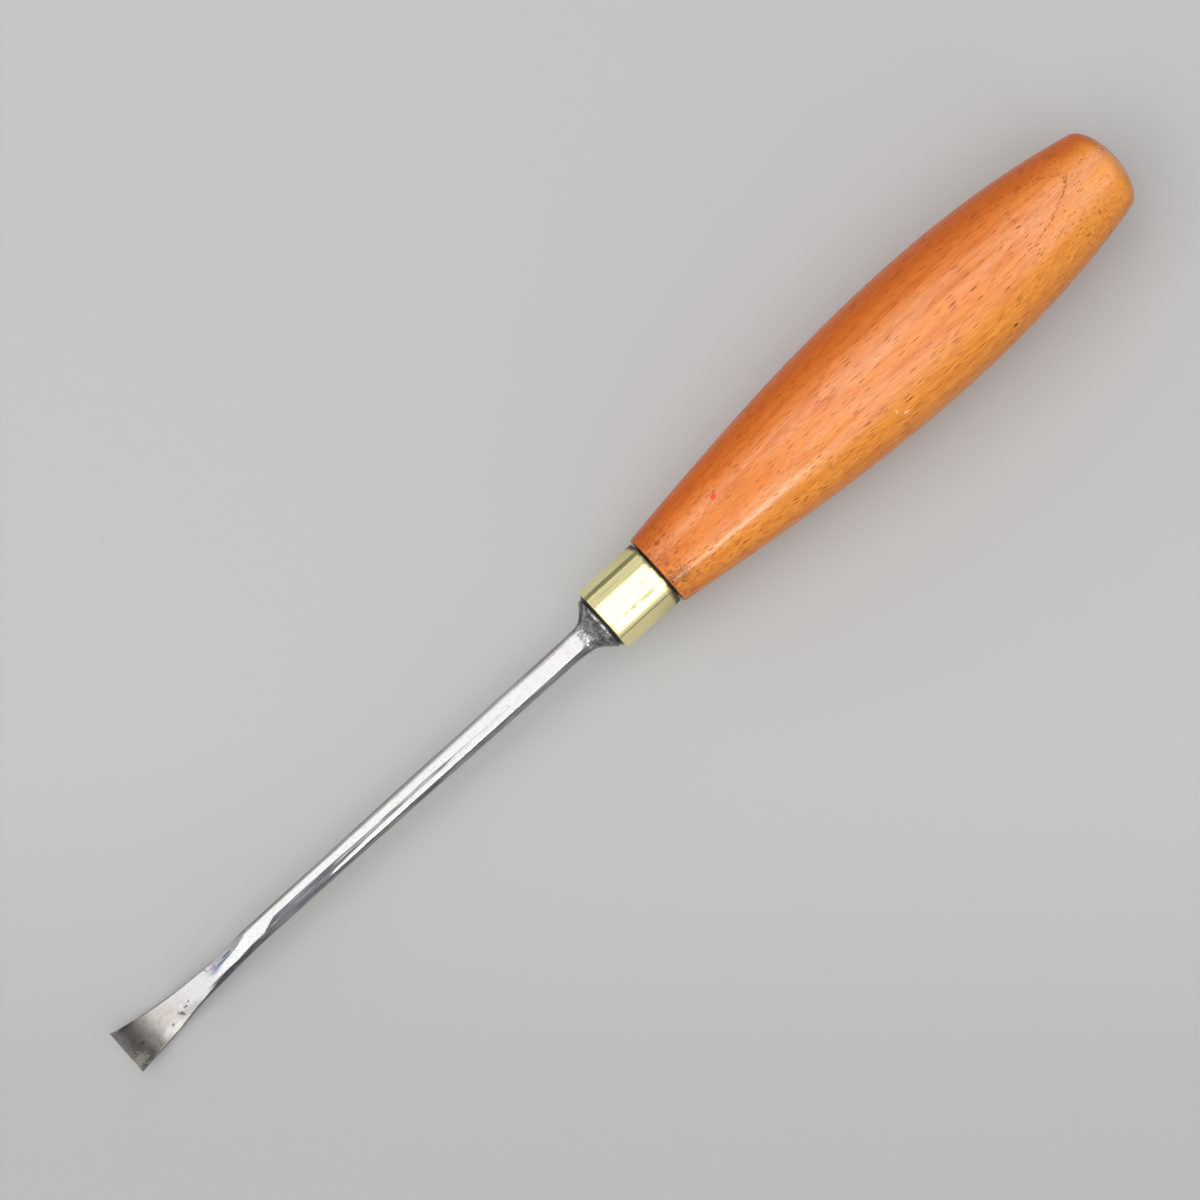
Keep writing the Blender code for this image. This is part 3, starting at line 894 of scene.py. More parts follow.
@dataclass(frozen=True)
class Handle(Turned):
    """The turned handle: a tenon with a bore for the tang, a swelling grip and a domed butt."""

    name: ClassVar[str] = "turned_handle"
    node: ClassVar[str] = "handle"
    slot: ClassVar[str] = "handle_wood"
    finish: ClassVar[Finish] = StainedBeech()
    belly_radius: float
    length: float = 117.7
    shoulder_radius: float = 7.82
    shoulder_ease: float = 0.3
    shoulder_rise: float = 0.14
    belly_place: float = 69.0
    butt_radius: float = 9.2
    butt_dome: float = 4.35
    butt_blend: float = 6.2
    butt_flat: float = 1.97
    tenon_radius: float = 6.1
    tenon_length: float = 14.45
    tenon_ease: float = 0.3
    bore_mouth: float = 3.7
    bore_end: float = 2.2
    bore_depth: float = 50.0
    segments: int = 240
    swell_steps: int = 130
    dome_steps: int = 36
    plain_steps: int = 12
    out_of_round: float = 0.002

    def swell(self) -> list[Point]:
        """The grip's outline from the shoulder to the butt.

        Returns:
            Points (distance behind the shoulder, radius).
        """
        blend = math.radians(self.butt_blend)
        dome_end = math.acos(self.butt_flat / self.butt_radius)
        dome_centre = self.length - self.butt_dome * math.sin(dome_end)
        heel_place = dome_centre + self.butt_dome * math.sin(blend)
        heel_radius = self.butt_radius * math.cos(blend)
        heel_slope = -math.tan(blend) * self.butt_radius / self.butt_dome
        front = (self.shoulder_ease, self.shoulder_radius)
        belly = (self.belly_place, self.belly_radius)
        heel = (heel_place, heel_radius)
        points = []
        for (start, first), (end, last), slopes in (
            (front, belly, (self.shoulder_rise, 0)),
            (belly, heel, (0, heel_slope)),
        ):
            for step in range(self.swell_steps):
                share = step / self.swell_steps
                points.append((mix(start, end, share), hermite(first, last, slopes, end - start, share)))
        for step in range(self.dome_steps + 1):
            angle = mix(blend, dome_end, step / self.dome_steps)
            along = dome_centre + self.butt_dome * math.sin(angle)
            points.append((along, self.butt_radius * math.cos(angle)))
        return points

    def profile(self) -> list[Point]:
        """The whole outline, from the bottom of the bore round to the middle of the butt.

        Returns:
            Points (along the axis, radius).
        """
        points = [(self.tenon_length - self.bore_depth, 0.0)]
        for step in range(self.plain_steps + 1):
            share = step / self.plain_steps
            depth = mix(self.bore_depth, 0.0, share)
            points.append((self.tenon_length - depth, mix(self.bore_end, self.bore_mouth, share)))
        points.append((self.tenon_length, self.tenon_radius - self.tenon_ease))
        for step in range(self.plain_steps + 1):
            share = step / self.plain_steps
            points.append((mix(self.tenon_length - self.tenon_ease, 0.0, share), self.tenon_radius))
        points.append((0.0, self.shoulder_radius - self.shoulder_ease))
        points += [(-distance, radius) for distance, radius in self.swell()]
        points.append((-self.length, 0.0))
        return points

    def on_grip(self, along: float, turn: float) -> Place:
        """A place on the grip.

        Args:
            along: Distance behind the shoulder.
            turn: Degrees from the top towards the near side.

        Returns:
            The place on the tool's axes.
        """
        radius = min(self.swell(), key=lambda point: abs(point[0] - along))[1]
        angle = math.radians(turn)
        return -along, radius * math.sin(angle), radius * math.cos(angle)

    def marks(self) -> list[Mark]:
        """Stains and bruises of use on the grip."""
        dirt = (0.035, 0.022, 0.014)
        return [
            Mark(self.on_grip(16.8, -12), (0.9, 0.7, 0.7), (0.80, 0.05, 0.025), 0.9, 0.5),
            Mark(self.on_grip(17.5, -16), (0.55, 0.3, 0.3), dirt, 0.5, 0.8),
            Mark(self.on_grip(3.2, -21), (0.9, 0.6, 0.6), dirt, 0.5, 1.8),
            Mark(self.on_grip(2.4, 33), (2.4, 1.6, 1.5), dirt, 0.45, 4.6),
            Mark(self.on_grip(54.6, 51), (0.85, 0.22, 0.3), (0.90, 0.66, 0.45), 0.7, 0.5),
            Mark(self.on_grip(53.2, 44), (0.3, 0.7, 0.6), (0.90, 0.55, 0.30), 0.5, 0.5),
            Mark(self.on_grip(81.3, 62), (0.7, 0.55, 0.55), dirt, 0.8, 0.6),
            Mark(self.on_grip(116.0, -14), (1.3, 0.28, 0.4), dirt, 0.85, 1.0),
        ]


@dataclass(frozen=True)
class Ferrule(Turned):
    """The brass tube round the tenon, with a rolled front lip."""

    name: ClassVar[str] = "brass_ferrule"
    node: ClassVar[str] = "ferrule"
    slot: ClassVar[str] = "ferrule_brass"
    finish: ClassVar[Finish] = TarnishedBrass()
    start: float = 0.3
    length: float = 13.7
    radius: float = 7.15
    wall: float = 0.75
    lip: float = 0.34
    ease: float = 0.15
    groove_place: float = 0.75
    groove_depth: float = 0.05
    groove_width: float = 0.16
    segments: int = 200
    wall_steps: int = 60
    lip_steps: int = 10
    out_of_round: float = 0.001

    def profile(self) -> list[Point]:
        """The wall's outline, closed on its first point.

        Returns:
            Points (along the axis, radius).
        """
        bore = self.radius - self.wall
        end = self.start + self.length
        points = [(self.start, bore), (self.start, self.radius - self.ease)]
        for step in range(self.wall_steps + 1):
            along = mix(self.start + self.ease, end - self.lip, step / self.wall_steps)
            dip = math.exp(-(((end - self.groove_place - along) / self.groove_width) ** 2))
            points.append((along, self.radius - self.groove_depth * dip))
        for step in range(1, self.lip_steps + 1):
            angle = math.pi / 2 * step / self.lip_steps
            along = end - self.lip + self.lip * math.sin(angle)
            points.append((along, self.radius - self.lip + self.lip * math.cos(angle)))
        points.append((end, bore))
        points.append(points[0])
        return points

    def marks(self) -> list[Mark]:
        """Scratches along the top of the tube, and painted dark reflections: a thin line on the near
        side and a dull stripe on the far side.
        """
        scratch_and_reflection_line = (0.15, 0.125, 0.06)
        return [
            Mark((10.0, 2.9, 6.53), (0.6, 0.40, 1.0), scratch_and_reflection_line, 0.55, 1.2),
            Mark((8.1, 2.92, 6.52), (1.0, 0.48, 1.0), scratch_and_reflection_line, 0.65, 1.6),
            Mark((4.7, 2.95, 6.50), (2.4, 0.48, 1.0), scratch_and_reflection_line, 0.65, 2.0),
            Mark((3.6, 0.64, 7.10), (1.7, 0.20, 1.0), scratch_and_reflection_line, 0.6, 2.2),
            Mark((9.0, -2.9, 6.53), (4.0, 0.14, 1.0), scratch_and_reflection_line, 0.4, 2.0),
            # Painted reflection: a thin dark line along the near side.
            Mark((7.2, 5.34, 4.755), (18.0, 0.20, 0.20), scratch_and_reflection_line, 0.75, 1.2),
            # Painted reflection: a broad dull stripe along the far side.
            Mark((7.2, -4.52, 5.54), (18.0, 0.90, 0.90), (0.27, 0.245, 0.115), 0.85, 0.7),
        ]


@dataclass(frozen=True)
class Section:
    """A forged section: a flat-bottomed bar whose top is ground in facets from the near to the far side.

    From the near side the top has a steep chamfer, a strip, a rough facet up to a ridge, the main
    facet, and a far chamfer. Drops are measured down from the top, and sides out from the middle.
    The near side is forged a little wider than the far side in places.
    """

    half_width: float
    near_width: float
    top: float
    bottom: float
    near_fall: float
    strip_side: float
    strip_drop: float
    rough_side: float
    rough_drop: float
    ridge_side: float
    far_side: float
    far_fall: float
    under: float

    def corners(self) -> list[Point]:
        """The section's corners, from the near side's foot over the top to the underside."""
        return [
            (self.near_width, self.bottom + self.under),
            (self.near_width, self.top - self.near_fall),
            (self.strip_side, self.top - self.strip_drop),
            (self.rough_side, self.top - self.rough_drop),
            (self.ridge_side, self.top),
            (-self.far_side, self.top),
            (-self.half_width, self.top - self.far_fall),
            (-self.half_width, self.bottom + self.under),
            (self.under - self.half_width, self.bottom),
            (self.near_width - self.under, self.bottom),
        ]

    def towards(self, other: "Section", share: float) -> "Section":
        """The section that lies a share of the way to another."""
        return Section(*(mix(a, b, share) for a, b in zip(astuple(self), astuple(other))))


class Side(Enum):
    """The sides of a forged section, each with how many points it gets and how bright it is ground.

    The last chamfer, from the underside up to the near side, has no points of its own: one face
    closes the ring there.
    """

    NEAR = (7, 0.45)
    NEAR_CHAMFER = (5, 0.45)
    STRIP = (7, 1.00)
    ROUGH = (13, 0.22)
    MAIN = (27, 1.00)
    FAR_CHAMFER = (13, 0.85)
    FAR = (7, 0.70)
    UNDER_FAR = (5, 0.75)
    UNDER = (15, 0.85)

    def __init__(self, points: int, polish: float) -> None:
        """Keeps the side's point count and polish."""
        self.points = points
        self.polish = polish


def plain_section(sides: Point, top: float, bottom: float, chamfer: float, under: float) -> Section:
    """A section with a flat top and even chamfers.

    Args:
        sides: Its reach to the far side and to the near side.
        top: Height of its top.
        bottom: Height of its underside.
        chamfer: Size of the top chamfers.
        under: Size of the underside's chamfers.

    Returns:
        The section, with its facets flush in the flat top.
    """
    flat = sides[0] - chamfer
    strip = sides[1] - chamfer
    return Section(
        half_width=sides[0],
        near_width=sides[1],
        top=top,
        bottom=bottom,
        near_fall=chamfer,
        strip_side=strip,
        strip_drop=0.0,
        rough_side=strip * ROUGH_SHARE,
        rough_drop=0.0,
        ridge_side=strip * RIDGE_SHARE,
        far_side=flat,
        far_fall=chamfer,
        under=under,
    )


@dataclass(frozen=True)
class Ring:
    """One cross-section of the blade's skin, as places on the tool's axes with the polish of each."""

    places: list[Vector]
    polish: list[float]
    brushed: float


@dataclass(frozen=True)
class Pit:
    """A corroded hollow in the spoon's face, longer along the tool than across it."""

    along: float
    side: float
    reach: float
    depth: float
    stretch: ClassVar[float] = 1.6
    stain: ClassVar[Colour] = (0.035, 0.030, 0.028)
    stain_stretch: ClassVar[float] = 1.9
    face_height: ClassVar[float] = -4.4
    stain_strength: ClassVar[float] = 0.85
    stain_ragged: ClassVar[float] = 2.2
    face_reach: ClassVar[float] = 3.0

    def depth_at(self, along: float, side: float) -> float:
        """How deep the pit goes at a place."""
        away = ((along - self.along) / self.stretch) ** 2 + (side - self.side) ** 2
        return self.depth * math.exp(-away / self.reach**2)

    def mark(self) -> Mark:
        """The dark stain in the pit."""
        centre = (self.along, self.side, self.face_height)
        reach = (self.stain_stretch * self.reach, self.reach, self.face_reach)
        return Mark(centre, reach, self.stain, self.stain_strength, self.stain_ragged)


@dataclass(frozen=True)
class Blade:
    """The one-piece blade: tang, bolster, shank, bend and spoon.

    Fades and ranges on the shank run along the tool, and those past it along the steel, from the
    start of the bend.
    """

    name: ClassVar[str] = "forged_blade"
    node: ClassVar[str] = "blade"
    slot: ClassVar[str] = "blade_steel"
    finish: ClassVar[Finish] = ForgedSteel()
    bolster_place: float = 14.5
    tang_length: float = 47.75
    tang_root: float = 2.4
    tang_point: float = 1.1
    tang_chamfer: float = 0.2
    tang_polish: float = 0.1
    rim: float = 5.8
    rim_ease: float = 0.1
    rim_land: float = 0.6
    flare: float = 4.45
    flare_power: float = 1.9
    round_power: float = 1.4
    crown: float = 0.75
    # Brightens the top of the bolster: painted highlight, partly polish.
    crown_highlight_polish: float = 0.44
    bolster_polish: float = 0.24
    bolster_hammer: float = 0.16
    root_hammer: float = 0.04
    shank_hammer: float = 0.02
    hammer_size: float = 1.6
    patch_size: float = 0.8
    scale_patches: float = 4.5
    shank_draw: float = 4.0
    shank_length: float = 81.6
    shank_root: float = 2.25
    shank_end: float = 2.0
    shank_under: float = 0.8
    root_spread: float = 0.32
    root_reach: float = 4.5
    root_power: float = 2.5
    root_polish: float = 0.1
    arch: float = 1.5
    arch_edge: Point = (-0.3, 0.5)
    arch_polish: float = 0.55
    opening: Range = (38.0, 66.0)
    broadening: Range = (66.0, 92.0)
    closing: Range = (97.0, 102.6)
    near_spread: Fade = Fade(0.32, 0.06, 30.0, 75.0)
    near_falls: Point = (0.95, 1.15)
    strip_inset: Fade = Fade(0.85, 0.62, 36.0, 76.0)
    strip_drops: Facet = (0.04, 0.26, 0.10)
    rough_sides: Facet = (0.85, 0.70, 0.55)
    rough_drops: Facet = (0.0, 0.07, 0.17)
    ridge_sides: Facet = (0.3, 0.0, -0.1)
    far_insets: Point = (0.95, 0.80)
    far_falls: Point = (0.55, 0.60)
    flush_drop: float = 0.03
    flush_step: float = 0.04
    strip_polish: Fade = Fade(1.0, -0.1, 78.0, 89.0)
    rough_polish: Fade = Fade(0.40, 0.09, 64.0, 86.0)
    rough_opening: Range = (30.0, 56.0)
    shut_polish: float = 0.95
    bend_radius: float = 30.0
    neck_width: float = 1.8
    neck_thickness: float = 3.3
    neck_chamfer: float = 1.0
    neck_strip: float = 0.66
    neck_fall: float = 1.25
    # Darkens the near side over the bend: painted shade.
    neck_shade_polish: float = 0.20
    neck_dark: float = 0.5
    neck_fresh: float = 0.3
    bulge: float = 0.40
    bulge_rise: Range = (1.0, 8.0)
    bulge_fall: Range = (10.0, 20.0)
    spread_end: Range = (0.0, 8.0)
    grind_line: tuple[Point, ...] = (
        (0.0, 1.20), (3.0, 0.95), (6.0, 0.36), (8.0, 0.20), (10.2, 0.02), (13.7, -0.60)
    )
    grind_fall: Fade = Fade(0.60, 0.72, 3.0, 9.0)
    grind_ease: Fade = Fade(0.0, 0.35, 9.5, 13.0)
    grind_lift: Range = (12.4, 13.8)
    ramp_angle: float = 16.0
    ramp_length: float = 13.0
    face_start: Range = (2.6, 9.0)
    brush_start: Range = (2.0, 6.0)
    spoon_radius: float = 16.8
    spoon_thickness: float = 1.7
    spoon_chamfer: float = 0.2
    spoon_under: float = 0.5
    wall_share: float = 0.45
    edge_angle: float = 36.0
    edge_width: float = 4.85
    edge_land: float = 0.15
    bevel_length: float = 4.2
    widening_power: float = 1.5
    arris: float = 0.12
    arris_share: float = 0.2
    side_share: float = 0.3
    shoulder_swell: float = 0.13
    swell_end: Range = (2.0, 6.0)
    inset: float = 0.012
    tang_steps: int = 16
    rim_steps: int = 5
    flare_steps: int = 34
    shank_steps: int = 170
    bend_steps: int = 34
    ramp_steps: int = 64
    spoon_steps: int = 76

    @property
    def shank_place(self) -> float:
        """Where the shank starts, along the tool."""
        return self.bolster_place + self.rim_land + self.flare

    @property
    def bend_place(self) -> float:
        """Where the shank ends and the bend starts, along the tool."""
        return self.shank_place + self.shank_length

    @property
    def bend_arc(self) -> float:
        """Length of the bend along the steel."""
        return self.bend_radius * math.radians(self.ramp_angle)

    @property
    def spoon_arc(self) -> float:
        """Length of the spoon's hollow along the steel."""
        return self.spoon_radius * math.radians(self.ramp_angle + self.edge_angle)

    def pits(self) -> list[Pit]:
        """Corrosion pits in the spoon's face."""
        return [
            Pit(123.4, 1.2, 0.36, 0.07),
            Pit(122.1, 0.70, 0.30, 0.05),
            Pit(121.0, 0.42, 0.22, 0.04),
            Pit(123.9, 0.70, 0.24, 0.04),
            Pit(123.1, 1.65, 0.26, 0.04),
            Pit(126.1, 1.70, 0.22, 0.05),
            Pit(132.4, 0.5, 0.24, 0.05),
        ]

    def outline(self, corners: list[Point], eased: float, swell: float = 0.0) -> list[Point]:
        """Points round a section, gathered at its corners, which are eased.

        Args:
            corners: The section's corners.
            eased: How far each corner's rounding reaches.
            swell: How far the far chamfer stands out in a curve, as a share of its width.

        Returns:
            The points, as many on each side as Side gives.
        """
        points = []
        count = len(corners)
        for index, side in enumerate(Side):
            here = Vector(corners[index])
            ahead = Vector(corners[(index + 1) % count])
            behind = Vector(corners[index - 1])
            if swell and side is Side.FAR_CHAMFER:
                # An even arch stands out by four times its height times both shares of its width.
                out = Vector((ahead.y - here.y, here.x - ahead.x)) * swell * 4
                for step in range(side.points):
                    share = step / side.points
                    points.append(here.lerp(ahead, share) + out * share * (1 - share))
                continue
            length = (ahead - here).length
            reach = min(eased, self.side_share * length)
            before = min(eased, self.side_share * (behind - here).length)
            start = here.lerp(ahead, reach / length) if length else here
            end = ahead.lerp(here, reach / length) if length else here
            arrive = here + (behind - here).normalized() * before
            points.append(here.lerp((start + arrive) / 2, 0.5))
            points += [start.lerp(end, step / (side.points - 2)) for step in range(side.points - 1)]
        return [(point.x, point.y) for point in points]

    def polish(self, levels: dict[Side, float]) -> list[float]:
        """How bright each point of a section is ground.

        Args:
            levels: Polish of the sides that differ there from what Side gives.

        Returns:
            One value a point, in the order of outline.
        """
        values = []
        for side in Side:
            values += [levels.get(side, side.polish)] * side.points
        return values

    def shank_section(self, along: float) -> Section:
        """The shank's section, whose rough facet opens towards the bend.

        Args:
            along: Distance along the tool.

        Returns:
            The section there.
        """
        past_root = along - self.shank_place
        half = mix(self.shank_root, self.shank_end, past_root / self.shank_length)
        near = half + self.near_spread.at(along)
        strip = near - self.strip_inset.at(along)
        spread = max(0.0, 1 - past_root / self.root_reach) ** self.root_power
        opened = rise(*self.opening, along)
        broad = rise(*self.broadening, along)
        closed = rise(*self.closing, along)

        def facet(sizes: Facet, flush: float) -> float:
            """A size of a facet that opens, broadens and closes flush with the top."""
            return mix(mix(sizes[0], sizes[1], opened) + sizes[2] * broad, flush, closed)

        return Section(
            half_width=half,
            near_width=near + self.root_spread * spread,
            top=half,
            bottom=-half,
            near_fall=mix(*self.near_falls, opened),
            strip_side=strip,
            strip_drop=facet(self.strip_drops, self.flush_drop),
            rough_side=facet(self.rough_sides, strip - self.flush_step),
            rough_drop=facet(self.rough_drops, self.flush_drop / 2),
            ridge_side=facet(self.ridge_sides, strip - 2 * self.flush_step),
            far_side=half - mix(*self.far_insets, broad),
            far_fall=mix(*self.far_falls, broad),
            under=self.shank_under,
        )

    def sides(self, half: float, past: float) -> Point:
        """How far the neck reaches to the far side and to the near side, where it bulges.

        Args:
            half: Half the width without the bulge.
            past: Distance past the start of the bend, along the steel.

        Returns:
            The reach to the far side and to the near side.
        """
        bulge = self.bulge * rise(*self.bulge_rise, past) * (1 - rise(*self.bulge_fall, past))
        return half, half + bulge + self.near_spread.last * (1 - rise(*self.spread_end, past))

    def neck_facets(self, sides: Point, top: float, bottom: float, under: float) -> Section:
        """The neck's section, which has a facet ground on the far side.

        Args:
            sides: Its reach to the far side and to the near side.
            top: Height of its top.
            bottom: Height of its underside.
            under: Size of the underside's chamfers.

        Returns:
            The section.
        """
        strip = sides[1] - self.neck_strip
        return Section(
            half_width=sides[0],
            near_width=sides[1],
            top=top,
            bottom=bottom,
            near_fall=self.neck_fall,
            strip_side=strip,
            strip_drop=self.flush_drop,
            rough_side=strip - self.flush_step,
            rough_drop=self.flush_drop / 2,
            ridge_side=strip - 2 * self.flush_step,
            far_side=sides[0] - self.far_insets[1],
            far_fall=self.far_falls[1],
            under=under,
        )

    def ground_off(self, section: Section, past: float) -> Section:
        """Grinds the neck's far facet into a section, wider and wider up to where the wheel was lifted.

        Args:
            section: The section without the facet.
            past: Distance past the start of the bend, along the steel.

        Returns:
            The section with the facet.
        """
        side = self.grind_line[-1][1]
        for (start, first), (end, last) in zip(self.grind_line, self.grind_line[1:]):
            if start <= past < end:
                side = mix(first, last, (past - start) / (end - start))
        lifted = rise(*self.grind_lift, past)
        fall = self.grind_fall.at(past) - self.grind_ease.at(past)
        return replace(
            section,
            far_side=mix(side, section.far_side, lifted),
            far_fall=mix(fall, section.far_fall, lifted),
        )

    def neck_section(self, past: float) -> Section:
        """The section over the bend, where the shank's facets turn into the neck's.

        Args:
            past: Distance past the start of the bend, along the steel.

        Returns:
            The section there.
        """
        share = smooth(past / self.bend_arc)
        half = mix(self.shank_end, self.neck_width, share)
        thickness = mix(2 * self.shank_end, self.neck_thickness, share) / 2
        neck = self.neck_facets(self.sides(half, past), thickness, -thickness, self.neck_chamfer)
        return self.ground_off(self.shank_section(self.bend_place).towards(neck, share), past)

    def spoon_section(self, past: float) -> Section:
        """The section from the neck to the edge, which thins, widens and ends in the bevel.

        Args:
            past: Distance past the end of the bend, along the steel.

        Returns:
            The section there.
        """
        length = self.ramp_length + self.spoon_arc
        half = mix(self.neck_width, self.edge_width, (past / length) ** self.widening_power)
        share = min(past / self.ramp_length, 1.0)
        top = mix(self.neck_thickness, self.spoon_thickness, share) / 2
        ground = max(0.0, 1 - (length - past) / self.bevel_length)
        bottom = mix(self.inset - top, top - self.edge_land, ground)
        wall = self.wall_share * (top - bottom)
        chamfer = min(self.spoon_chamfer, wall)
        under = min(mix(self.neck_chamfer, self.spoon_under, share), wall)
        sides = self.sides(half, past + self.bend_arc)
        face = plain_section(sides, top, bottom, chamfer, under)
        turned = self.neck_facets(sides, top, bottom, under).towards(face, rise(*self.face_start, past))
        plain = replace(turned, far_side=face.far_side, far_fall=chamfer)
        return self.ground_off(plain, past + self.bend_arc)

    def path(self, past: float) -> tuple[Vector, float]:
        """The middle line of the steel past the start of the bend.

        Args:
            past: Distance along the steel.

        Returns:
            The point (x, z) from the bend's start, and the slope there.
        """
        ramp = math.radians(self.ramp_angle)
        bend_end = Vector((math.sin(ramp), math.cos(ramp) - 1)) * self.bend_radius
        down = Vector((math.cos(ramp), -math.sin(ramp)))
        square = Vector((math.sin(ramp), math.cos(ramp)))
        if past <= self.bend_arc:
            angle = past / self.bend_radius
            return Vector((math.sin(angle), math.cos(angle) - 1)) * self.bend_radius, -angle
        if past <= self.bend_arc + self.ramp_length:
            return bend_end + down * (past - self.bend_arc), -ramp
        slope = (past - self.bend_arc - self.ramp_length) / self.spoon_radius - ramp
        centre = bend_end + down * self.ramp_length + square * self.spoon_radius
        return centre + Vector((math.sin(slope), -math.cos(slope))) * self.spoon_radius, slope

    def straight_ring(
        self, along: float, outline: list[Point], polish: list[float], hammer: float
    ) -> Ring:
        """A ring square to the axis, roughened by the forge.

        Args:
            along: Distance along the tool.
            outline: The section's points.
            polish: Polish of each point.
            hammer: How deep the forging's unevenness goes.

        Returns:
            The ring.
        """
        places = []
        shades = []
        drawn_out = max(along - self.shank_place, 0.0) * (1 - 1 / self.shank_draw)
        for (side, up), level in zip(outline, polish):
            cell = Vector((along - drawn_out, side, up))
            dent = hammer * (0.5 + 0.5 * noise.noise(cell / self.hammer_size))
            out = Vector((0, side, up)).normalized()
            places.append(Vector((along, side, up)) - out * dent)
            shades.append(level + self.scale_patches * hammer * noise.noise(cell / self.patch_size))
        return Ring(places, shades, 0.0)

    def tang_rings(self) -> list[Ring]:
        """The tang from its point up to the bolster."""
        rings = []
        for step in range(self.tang_steps + 1):
            share = step / self.tang_steps
            half = mix(self.tang_point, self.tang_root, share)
            section = plain_section((half, half), half, -half, self.tang_chamfer, self.tang_chamfer)
            along = self.bolster_place - self.tang_length * (1 - share)
            outline = self.outline(section.corners(), self.arris)
            rings.append(self.straight_ring(along, outline, [self.tang_polish] * len(outline), 0.0))
        return rings

    def bolster_rings(self) -> list[Ring]:
        """The rim and the trumpet that draws in to the shank."""
        section = self.shank_section(self.shank_place)
        root = self.outline(section.corners(), self.arris, self.shoulder_swell)
        rounds = [(side / math.hypot(side, up), up / math.hypot(side, up)) for side, up in root]
        # The bolster's top gets a painted highlight through a higher polish; its sides stay darker.
        forged = [self.crown_highlight_polish if up > self.crown else self.bolster_polish for _, up in rounds]
        rings = []
        for step in range(self.rim_steps + 1):
            share = step / self.rim_steps
            radius = self.rim - self.rim_ease * max(0.0, 1 - share * self.rim_steps / 2)
            outline = [(radius * side, radius * up) for side, up in rounds]
            along = self.bolster_place + self.rim_land * share
            rings.append(self.straight_ring(along, outline, forged, self.bolster_hammer))
        for step in range(1, self.flare_steps):
            drawn = step / self.flare_steps
            growth = mix(1.0, self.rim / self.shank_root, (1 - drawn) ** self.flare_power)
            radius = self.shank_root * growth
            roundness = (1 - drawn) ** self.round_power
            outline = [
                (mix(side * growth, out * radius, roundness), mix(up * growth, over * radius, roundness))
                for (side, up), (out, over) in zip(root, rounds)
            ]
            along = self.bolster_place + self.rim_land + self.flare * drawn
            hammer = mix(self.bolster_hammer, self.root_hammer, drawn)
            rings.append(self.straight_ring(along, outline, forged, hammer))
        return rings

    def shank_rings(self) -> list[Ring]:
        """The shank, from the bolster to the bend."""
        rings = []
        for step in range(self.shank_steps):
            along = self.shank_place + self.shank_length * step / self.shank_steps
            past_root = along - self.shank_place
            outline = self.outline(self.shank_section(along).corners(), self.arris, self.shoulder_swell)
            opened = rise(*self.rough_opening, along)
            off_root = rise(0.0, self.root_reach, past_root)
            levels = {
                Side.ROUGH: mix(self.shut_polish, self.rough_polish.at(along), opened),
                Side.STRIP: self.strip_polish.at(along),
                Side.NEAR_CHAMFER: mix(self.root_polish, Side.NEAR_CHAMFER.polish, off_root),
            }
            polish = self.polish(levels)
            for index, (side, _) in enumerate(outline):
                start = self.arch * (side / self.shank_root) ** 2
                low, high = (start + reach for reach in self.arch_edge)
                polish[index] *= mix(self.arch_polish, 1.0, rise(low, high, past_root))
            rings.append(self.straight_ring(along, outline, polish, self.shank_hammer))
        return rings

    def stations(self) -> list[float]:
        """Where the rings past the shank stand, as distances along the steel."""
        ramp_end = self.bend_arc + self.ramp_length
        edge = ramp_end + self.spoon_arc - self.inset
        spans = (
            (0.0, self.bend_arc, self.bend_steps),
            (self.bend_arc, ramp_end, self.ramp_steps),
            (ramp_end, edge, self.spoon_steps),
        )
        stations = []
        for start, end, steps in spans:
            stations += [mix(start, end, step / steps) for step in range(steps)]
        return stations + [edge]

    def spoon_rings(self) -> list[Ring]:
        """The bend, the ramp and the spoon, square to the middle line of the steel."""
        pits = self.pits()
        rings = []
        for past in self.stations():
            on_bend = past < self.bend_arc
            section = self.neck_section(past) if on_bend else self.spoon_section(past - self.bend_arc)
            eased = min(self.arris, self.arris_share * (section.top - section.bottom))
            swell = self.shoulder_swell * (1 - rise(*self.swell_end, past))
            middle, slope = self.path(past)
            fresh = rise(self.neck_fresh * self.bend_arc, self.bend_arc, past)
            # Painted shade: the near side and its chamfer turn darker over the bend.
            darkened = rise(0.0, self.neck_dark * self.bend_arc, past)
            dark = mix(Side.NEAR.polish, self.neck_shade_polish, darkened)
            levels = {
                Side.ROUGH: fresh,
                Side.STRIP: mix(self.strip_polish.last, self.strip_polish.first, fresh),
                Side.NEAR: dark,
                Side.NEAR_CHAMFER: dark,
            }
            places = []
            for side, up in self.outline(section.corners(), eased, swell):
                along = self.bend_place + middle.x - up * math.sin(slope)
                height = middle.y + up * math.cos(slope)
                if up > section.top / 2 and not on_bend:
                    height -= sum(pit.depth_at(along, side) for pit in pits)
                places.append(Vector((along, side, height)))
            brushed = rise(*(self.bend_arc + reach for reach in self.brush_start), past)
            rings.append(Ring(places, self.polish(levels), brushed))
        return rings

    def skin(self, rings: list[Ring]) -> bpy.types.Mesh:
        """Joins the rings into a closed mesh with its polish and brushing as attributes.

        Args:
            rings: Every ring from the tang's point to the edge.

        Returns:
            The mesh in the tool's millimetres.
        """
        count = len(rings[0].places)
        vertices = [place for ring in rings for place in ring.places]
        faces = [tuple(range(count))]
        for number in range(len(rings) - 1):
            near = number * count
            for index in range(count):
                after = (index + 1) % count
                faces.append((near + index, near + after, near + count + after, near + count + index))
        last = (len(rings) - 1) * count
        faces.append(tuple(last + index for index in reversed(range(count))))
        mesh = bpy.data.meshes.new(self.name)
        mesh.from_pydata(vertices, [], faces)
        polish = mesh.attributes.new("polish", "FLOAT", "POINT")
        polish.data.foreach_set("value", [value for ring in rings for value in ring.polish])
        brushed = mesh.attributes.new("brushed", "FLOAT", "POINT")
        brushed.data.foreach_set("value", [ring.brushed for ring in rings for _ in ring.places])
        return mesh

